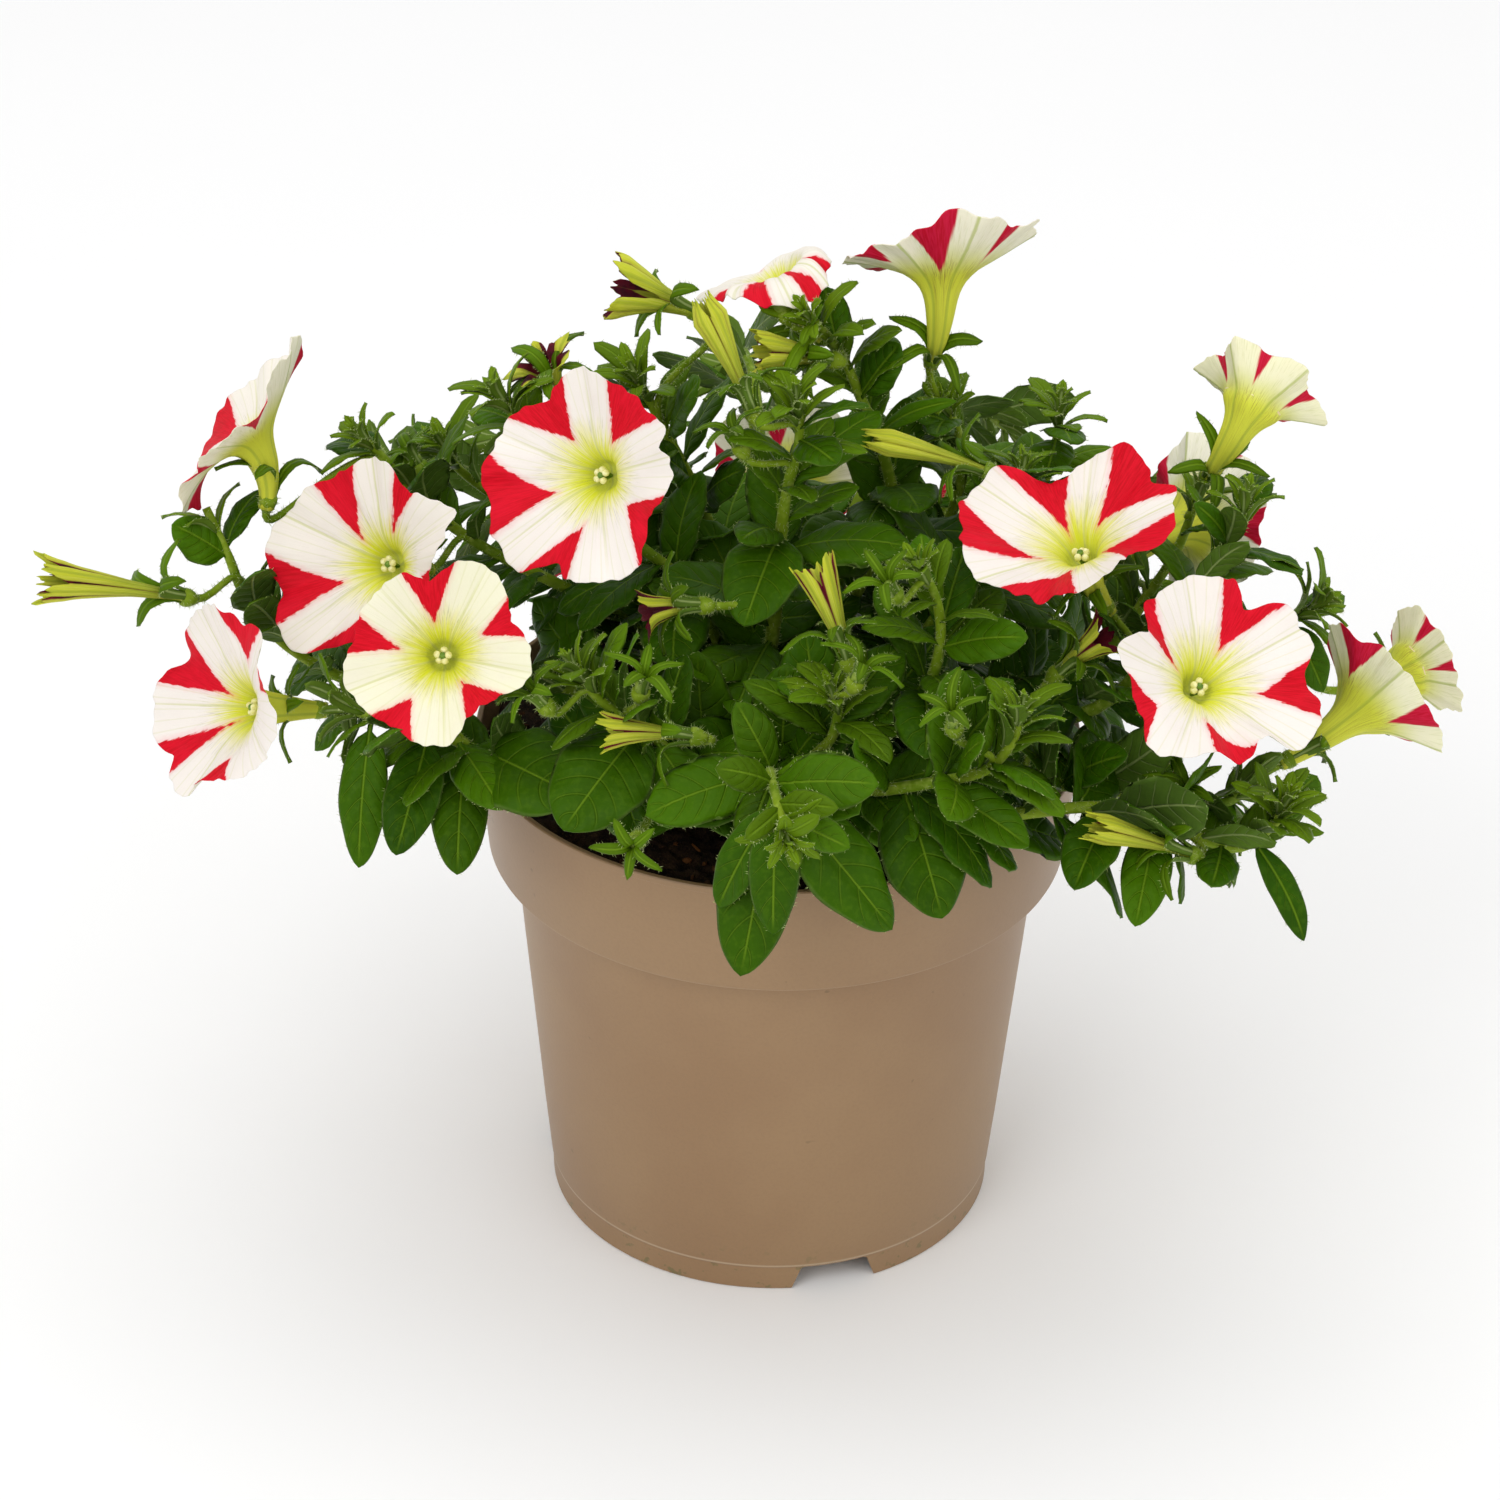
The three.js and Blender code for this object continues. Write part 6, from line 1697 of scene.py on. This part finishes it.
def plain_material(name, dark, light, scale, roughness, relief):
    """A fine grain between two colours."""
    n = Nodes(name)
    grain = n.noise(scale, 4.0)
    n.bump(grain, relief, 0.8)
    return n.finish(n.mix(n.step(grain, 0.3, 0.7), dark, light), roughness, Specular_IOR_Level=0.35)


def pot_material():
    """Matte taupe plastic with small specks."""
    n = Nodes("pot")
    broad, fine, speck = n.noise(14.0, 4.0), n.noise(900.0, 3.0), n.noise(150.0, 2.0)
    colour = n.mix(n.step(broad, 0.35, 0.65), srgb(142, 111, 78), srgb(148, 118, 84))
    colour = n.mix(n.times(n.step(fine, 0.4, 0.7), 0.12), colour, srgb(120, 96, 70))
    colour = n.mix(n.times(n.step(speck, 0.74, 0.78), 0.4), colour, srgb(96, 78, 50))
    z = n.new("ShaderNodeSeparateXYZ", n.place()).outputs[2]
    # Painted highlight: pale lines along the collar step and the foot line, where the edge of each step
    # catches the light
    for height in (COLLAR_Z, FOOT_LINE_Z):
        away = n.size(n.minus(z, height * MM))
        line = n.fall(away, 0.0001, 0.0006)
        colour = n.mix(n.times(line, 0.5), colour, srgb(196, 176, 150))
    # Marks of algae near the foot
    low = n.fall(z, 0.0, 0.022)
    marks = n.times(low, n.step(n.noise(300.0, 4.0), 0.6, 0.68))
    colour = n.mix(n.times(marks, 0.55), colour, srgb(86, 92, 50))
    n.bump(fine, 0.06, 0.6)
    return n.finish(colour, n.linear(broad, 0.12, 0.36), Specular_IOR_Level=0.45)


def soil_material():
    """Dark peat, with lighter bits where the look says so."""
    n = Nodes("soil")
    tint, _, _ = n.vector_of("look")
    coarse, fine = n.noise(240.0, 5.0), n.noise(1400.0, 3.0)
    colour = n.mix(n.step(coarse, 0.35, 0.68), srgb(26, 18, 12), srgb(62, 44, 30))
    colour = n.mix(n.times(n.step(fine, 0.55, 0.75), 0.5), colour, srgb(92, 66, 42))
    colour = n.mix(tint, colour, srgb(168, 104, 52))
    n.bump(n.plus(coarse, n.times(fine, 0.5)), 1.2, 1.0)
    return n.finish(colour, 0.9, Specular_IOR_Level=0.2)


leaf_look, stem_look = leaf_material(), stem_material()
fruit_look = plain_material("fruit", srgb(104, 132, 36), srgb(140, 160, 60), 300.0, 0.5, 0.2)
anther_look = plain_material("anther", srgb(222, 214, 130), srgb(246, 242, 190), 900.0, 0.8, 0.2)
stigma_look = plain_material("stigma", srgb(80, 118, 30), srgb(120, 150, 50), 900.0, 0.4, 0.1)
faded_look = faded_material()
hair_look = plain_material("hair", srgb(176, 196, 112), srgb(204, 218, 150), 300.0, 0.6, 0.05)

for stem in stems.values():
    looks = [stem_look, leaf_look, stem_look, fruit_look, hair_look]
    piece(stem_skin(stem), "leafy_stem_" + stem["name"], looks)
for number, flower in enumerate(flowers):
    skin = Skin()
    look = FLOWER_LOOKS[flower["name"]]
    add_corolla(skin, flower, look, number)
    petal = petal_material("petal_" + flower["name"], look["yellow"], look["cream"], 1.7 * number)
    piece(skin, "flower_" + flower["name"], [petal, anther_look, stigma_look])
for faded in faded_flowers:
    skin = Skin()
    add_furled(skin, faded)
    piece(skin, "faded_flower_" + faded["name"], [faded_look])
for number, (name, leaf) in enumerate(own_leaves.items()):
    skin = Skin()
    add_leaf(skin, leaf, random_source(OWN_LEAF_SEED + number), 0, 0.05)
    piece(skin, "leaf_" + name, [leaf_look])


# Pot

POT_COLUMNS = 180
SHARPEST_SMOOTH = 35


def pot_profile():
    """Radius and height round the pot's section: under the floor, up the outside and down the inside."""
    foot, step, top, collar, rim = FOOT_RADIUS, STEP_RADIUS, WALL_TOP_RADIUS, COLLAR_RADIUS, RIM_RADIUS
    wall, height = POT_WALL, POT_HEIGHT
    skirt, floor, ledge = foot - FOOT_WALL, FLOOR_TOP_Z - wall, COLLAR_Z + wall
    return [
        (0.5, floor), (skirt - 1, floor), (skirt, floor - 1), (skirt, 0.6), (skirt + 0.6, 0),
        (foot - 0.5, 0), (foot, 0.5), (foot + 0.2, STEP_Z - 0.9), (foot + 0.25, STEP_Z - 0.5),
        (step - 0.1, STEP_Z - 0.1), (step, STEP_Z + 0.4), (step + 2.1, 30), (step + 4.6, 57),
        (step + 8.2, 95), (top - 0.4, COLLAR_Z - 4), (top, COLLAR_Z - 0.9), (top + 0.7, COLLAR_Z - 0.15),
        (collar - 1.2, COLLAR_Z), (collar - 0.4, COLLAR_Z + 0.3), (collar, COLLAR_Z + 1.1),
        (rim - 0.6, height - 6.2), (rim - 0.35, height - 3.2), (rim - 0.3, height - 2.4),
        (rim - 0.05, height - 2.2), (rim, height - 1.8), (rim, height - 0.5), (rim - 0.3, height - 0.1),
        (rim - 0.7, height), (rim - wall + 0.2, height), (rim - wall - 0.1, height - 0.3),
        (rim - wall - 0.3, height - 2.4), (collar - wall, ledge + 0.6), (collar - wall - 0.6, ledge),
        (top - wall, ledge), (step - wall, FLOOR_TOP_Z + 1), (step - wall - 1, FLOOR_TOP_Z),
        (0.5, FLOOR_TOP_Z),
    ]


def prism(outline, low, high):
    """A block over an outline of (x, z) points, from one y to another."""
    count = len(outline)
    points = [(x, y, z) for y in (low, high) for x, z in outline]
    sides = [(count + i, count + (i + 1) % count, (i + 1) % count, i) for i in range(count)]
    mesh = bpy.data.meshes.new("cutter")
    mesh.from_pydata(points, [], [tuple(range(count)), tuple(range(count, 2 * count))[::-1], *sides])
    made = bpy.data.objects.new("cutter", mesh)
    bpy.context.scene.collection.objects.link(made)
    return made


def arch_outline():
    """The outline of an arch in the foot ring, wider below and with round corners above."""
    foot, head, corner = ARCH_BOTTOM_WIDTH / 2, ARCH_TOP_WIDTH / 2, ARCH_CORNER
    bend = [(head + 0.5 - corner + corner * math.cos(a), ARCH_HEIGHT - corner + corner * math.sin(a))
            for a in np.linspace(0, math.pi / 2, 5)]
    right = [(foot + 1, -3), *bend]
    return right + [(-x, z) for x, z in right[::-1]]


def arch_cutters():
    """Blocks that cut the arches through the foot ring."""
    for i in range(ARCH_COUNT):
        block = prism(arch_outline(), 0, 20)
        turn = math.radians(ARCH_ANGLE + 360 * i / ARCH_COUNT + 90)
        out = Matrix.Translation((0, 8 - FOOT_RADIUS - 14, 0))
        block.data.transform(Matrix.Rotation(turn, 4, "Z") @ out)
        yield block


def drain_cutters():
    """Rods that cut the drain holes through the floor."""
    ring = [(DRAIN_RADIUS * a, DRAIN_RADIUS * b) for a, b in zip(*circle(28))]
    for i in range(DRAIN_COUNT):
        angle = math.radians(360 * (i + 0.5) / DRAIN_COUNT + ARCH_ANGLE)
        x, y = DRAIN_RING_RADIUS * math.cos(angle), DRAIN_RING_RADIUS * math.sin(angle)
        block = prism(ring, -6, 6)
        lay = Matrix.Translation((x, y, FLOOR_TOP_Z - 1))
        block.data.transform(lay @ Matrix.Rotation(math.pi / 2, 4, "X"))
        yield block


def cut(target, cutters):
    """Takes the shapes of the cutters out of a piece."""
    for i, cutter in enumerate(cutters):
        cutter.data.transform(Matrix.Scale(MM, 4))
        modifier = target.modifiers.new(f"cut{i}", "BOOLEAN")
        modifier.object, modifier.operation, modifier.solver = cutter, "DIFFERENCE", "EXACT"
    graph = bpy.context.evaluated_depsgraph_get()
    mesh = bpy.data.meshes.new_from_object(target.evaluated_get(graph), depsgraph=graph)
    target.modifiers.clear()
    target.data = mesh
    for cutter in cutters:
        bpy.data.objects.remove(cutter)


c, s = circle(POT_COLUMNS)
skin = Skin()
skin.add(np.array([[(r * a, r * b, z) for a, b in zip(c, s)] for r, z in pot_profile()], float),
         NO_LOOK, NO_LOOK, 0)
pot = skin.finish("pot_look", [pot_material()])
cut(pot, [*arch_cutters(), *drain_cutters()])
for polygon in pot.data.polygons:
    polygon.use_smooth = True
pot.data.set_sharp_from_angle(angle=math.radians(SHARPEST_SMOOTH))
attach(pot, "root")
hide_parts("pot")

# Soil

SOIL_COLUMNS = 220
SOIL_ROWS = 90
SOIL_BITS = 260
# Length and height of the lumps of the soil
SOIL_WAVES = [(31, 0.9), (17, 0.8), (9, 0.7), (5.5, 0.5), (3.4, 0.42), (2.3, 0.3)]


def lumps(x, y):
    """Uneven ground: waves of several lengths that cross each other."""
    random = random_source(SOIL_SEED)
    height = np.zeros_like(x)
    for wave, size in SOIL_WAVES:
        for _ in range(3):
            a = 2 * math.pi * random()
            run = (x * math.cos(a) + y * math.sin(a)) * 2 * math.pi / wave
            height += size / 1.7 * np.sin(run + 6.28 * random())
    return height


def soil_skin():
    """The root ball, whose uneven top has small bits of bark and fibre in it."""
    skin = Skin()
    gap = POT_WALL + SOIL_GAP
    inside, ledge, collar = STEP_RADIUS - gap, COLLAR_Z + gap, COLLAR_RADIUS - gap
    slope = (RIM_RADIUS - COLLAR_RADIUS) / (POT_HEIGHT - COLLAR_Z)
    top_edge = collar + slope * (SOIL_Z - ledge)
    below = [(0.5, FLOOR_TOP_Z + SOIL_GAP), (inside, FLOOR_TOP_Z + SOIL_GAP),
             (WALL_TOP_RADIUS - gap, ledge), (collar, ledge), (top_edge - 0.3, SOIL_Z - 4)]
    c, s = circle(SOIL_COLUMNS)
    rings = [np.stack([r * c, r * s, np.full(SOIL_COLUMNS, float(z))], -1) for r, z in below]
    for share in np.linspace(1, 0.02, SOIL_ROWS):
        x, y = (top_edge - 0.1) * share * c, (top_edge - 0.1) * share * s
        z = SOIL_Z - 1.2 + 1.5 * (1 - share * share) + lumps(x, y)
        rings.append(np.stack([x, y, z], -1))
    skin.add(np.array(rings), NO_LOOK, NO_LOOK, 0)
    random = random_source(SOIL_BIT_SEED)
    for _ in range(SOIL_BITS):
        distance, angle = (top_edge - 3) * math.sqrt(random()), 2 * math.pi * random()
        x, y = distance * math.cos(angle), distance * math.sin(angle)
        share = distance / top_edge
        z = SOIL_Z - 1.0 + 1.5 * (1 - share * share) + float(lumps(np.array([x]), np.array([y]))[0])
        way = unit(np.array([random() - 0.5, random() - 0.5, 0.3 * random()]))
        look = (0.75 * random() ** 2, 0, 0)
        radius, length = 0.5 + 1.1 * random(), 1.5 + 4 * random()
        add_ball(skin, np.array([x, y, z]), way, radius, length, look, 0, 5, 4)
    return skin


piece(soil_skin(), "potting_soil", [soil_material()])

# Floor, light and camera

FLOOR_HALF = 6.0
WORLD_STRENGTH = 0.83
LIGHT_AIM = Vector((0, 0, 0.2))
SENSOR_WIDTH = 36
# Soft lights: name, place, size in metres, power in watts
LIGHTS = [
    ("key", (-0.8, -1.4, 1.5), 1.0, 10),
    ("fill", (1.3, -1.1, 0.9), 1.2, 3),
    ("top", (0.1, 0.2, 1.9), 1.4, 7),
]


def make_floor():
    mesh = bpy.data.meshes.new("floor")
    corners = [(-1, -1), (1, -1), (1, 1), (-1, 1)]
    mesh.from_pydata([(x * FLOOR_HALF, y * FLOOR_HALF, 0) for x, y in corners], [], [(0, 1, 2, 3)])
    made = bpy.data.objects.new("floor", mesh)
    bpy.context.scene.collection.objects.link(made)
    dark, light = (0.94, 0.94, 0.94, 1), (0.95, 0.95, 0.95, 1)
    mesh.materials.append(plain_material("floor", dark, light, 3.0, 0.9, 0.01))
    return made


def make_light(name, place, size, power):
    data = bpy.data.lights.new(name, "AREA")
    data.size, data.energy = size, power
    light = bpy.data.objects.new(name, data)
    light.location = place
    light.rotation_mode = "QUATERNION"
    light.rotation_quaternion = (Vector(place) - LIGHT_AIM).to_track_quat("Z", "Y")
    bpy.context.scene.collection.objects.link(light)


def make_camera():
    data = bpy.data.cameras.new("camera")
    data.sensor_width = SENSOR_WIDTH
    data.lens = SENSOR_WIDTH * FOCAL_PIXELS / PICTURE_SIDE
    data.clip_end = 50
    made = bpy.data.objects.new("camera", data)
    turn = Matrix([list(RIGHT), list(UPWARD), list(-FORWARD)]).transposed().to_4x4()
    made.matrix_world = Matrix.Translation(Vector(EYE * MM)) @ turn
    bpy.context.scene.collection.objects.link(made)
    return made


floor = make_floor()

world = bpy.data.worlds.new("studio")
world.use_nodes = True
backdrop = world.node_tree.nodes["Background"]
backdrop.inputs["Color"].default_value = (1, 1, 1, 1)
backdrop.inputs["Strength"].default_value = WORLD_STRENGTH
bpy.context.scene.world = world
for row in LIGHTS:
    make_light(*row)
bpy.context.scene.camera = make_camera()
bpy.context.scene.view_settings.view_transform = "Standard"
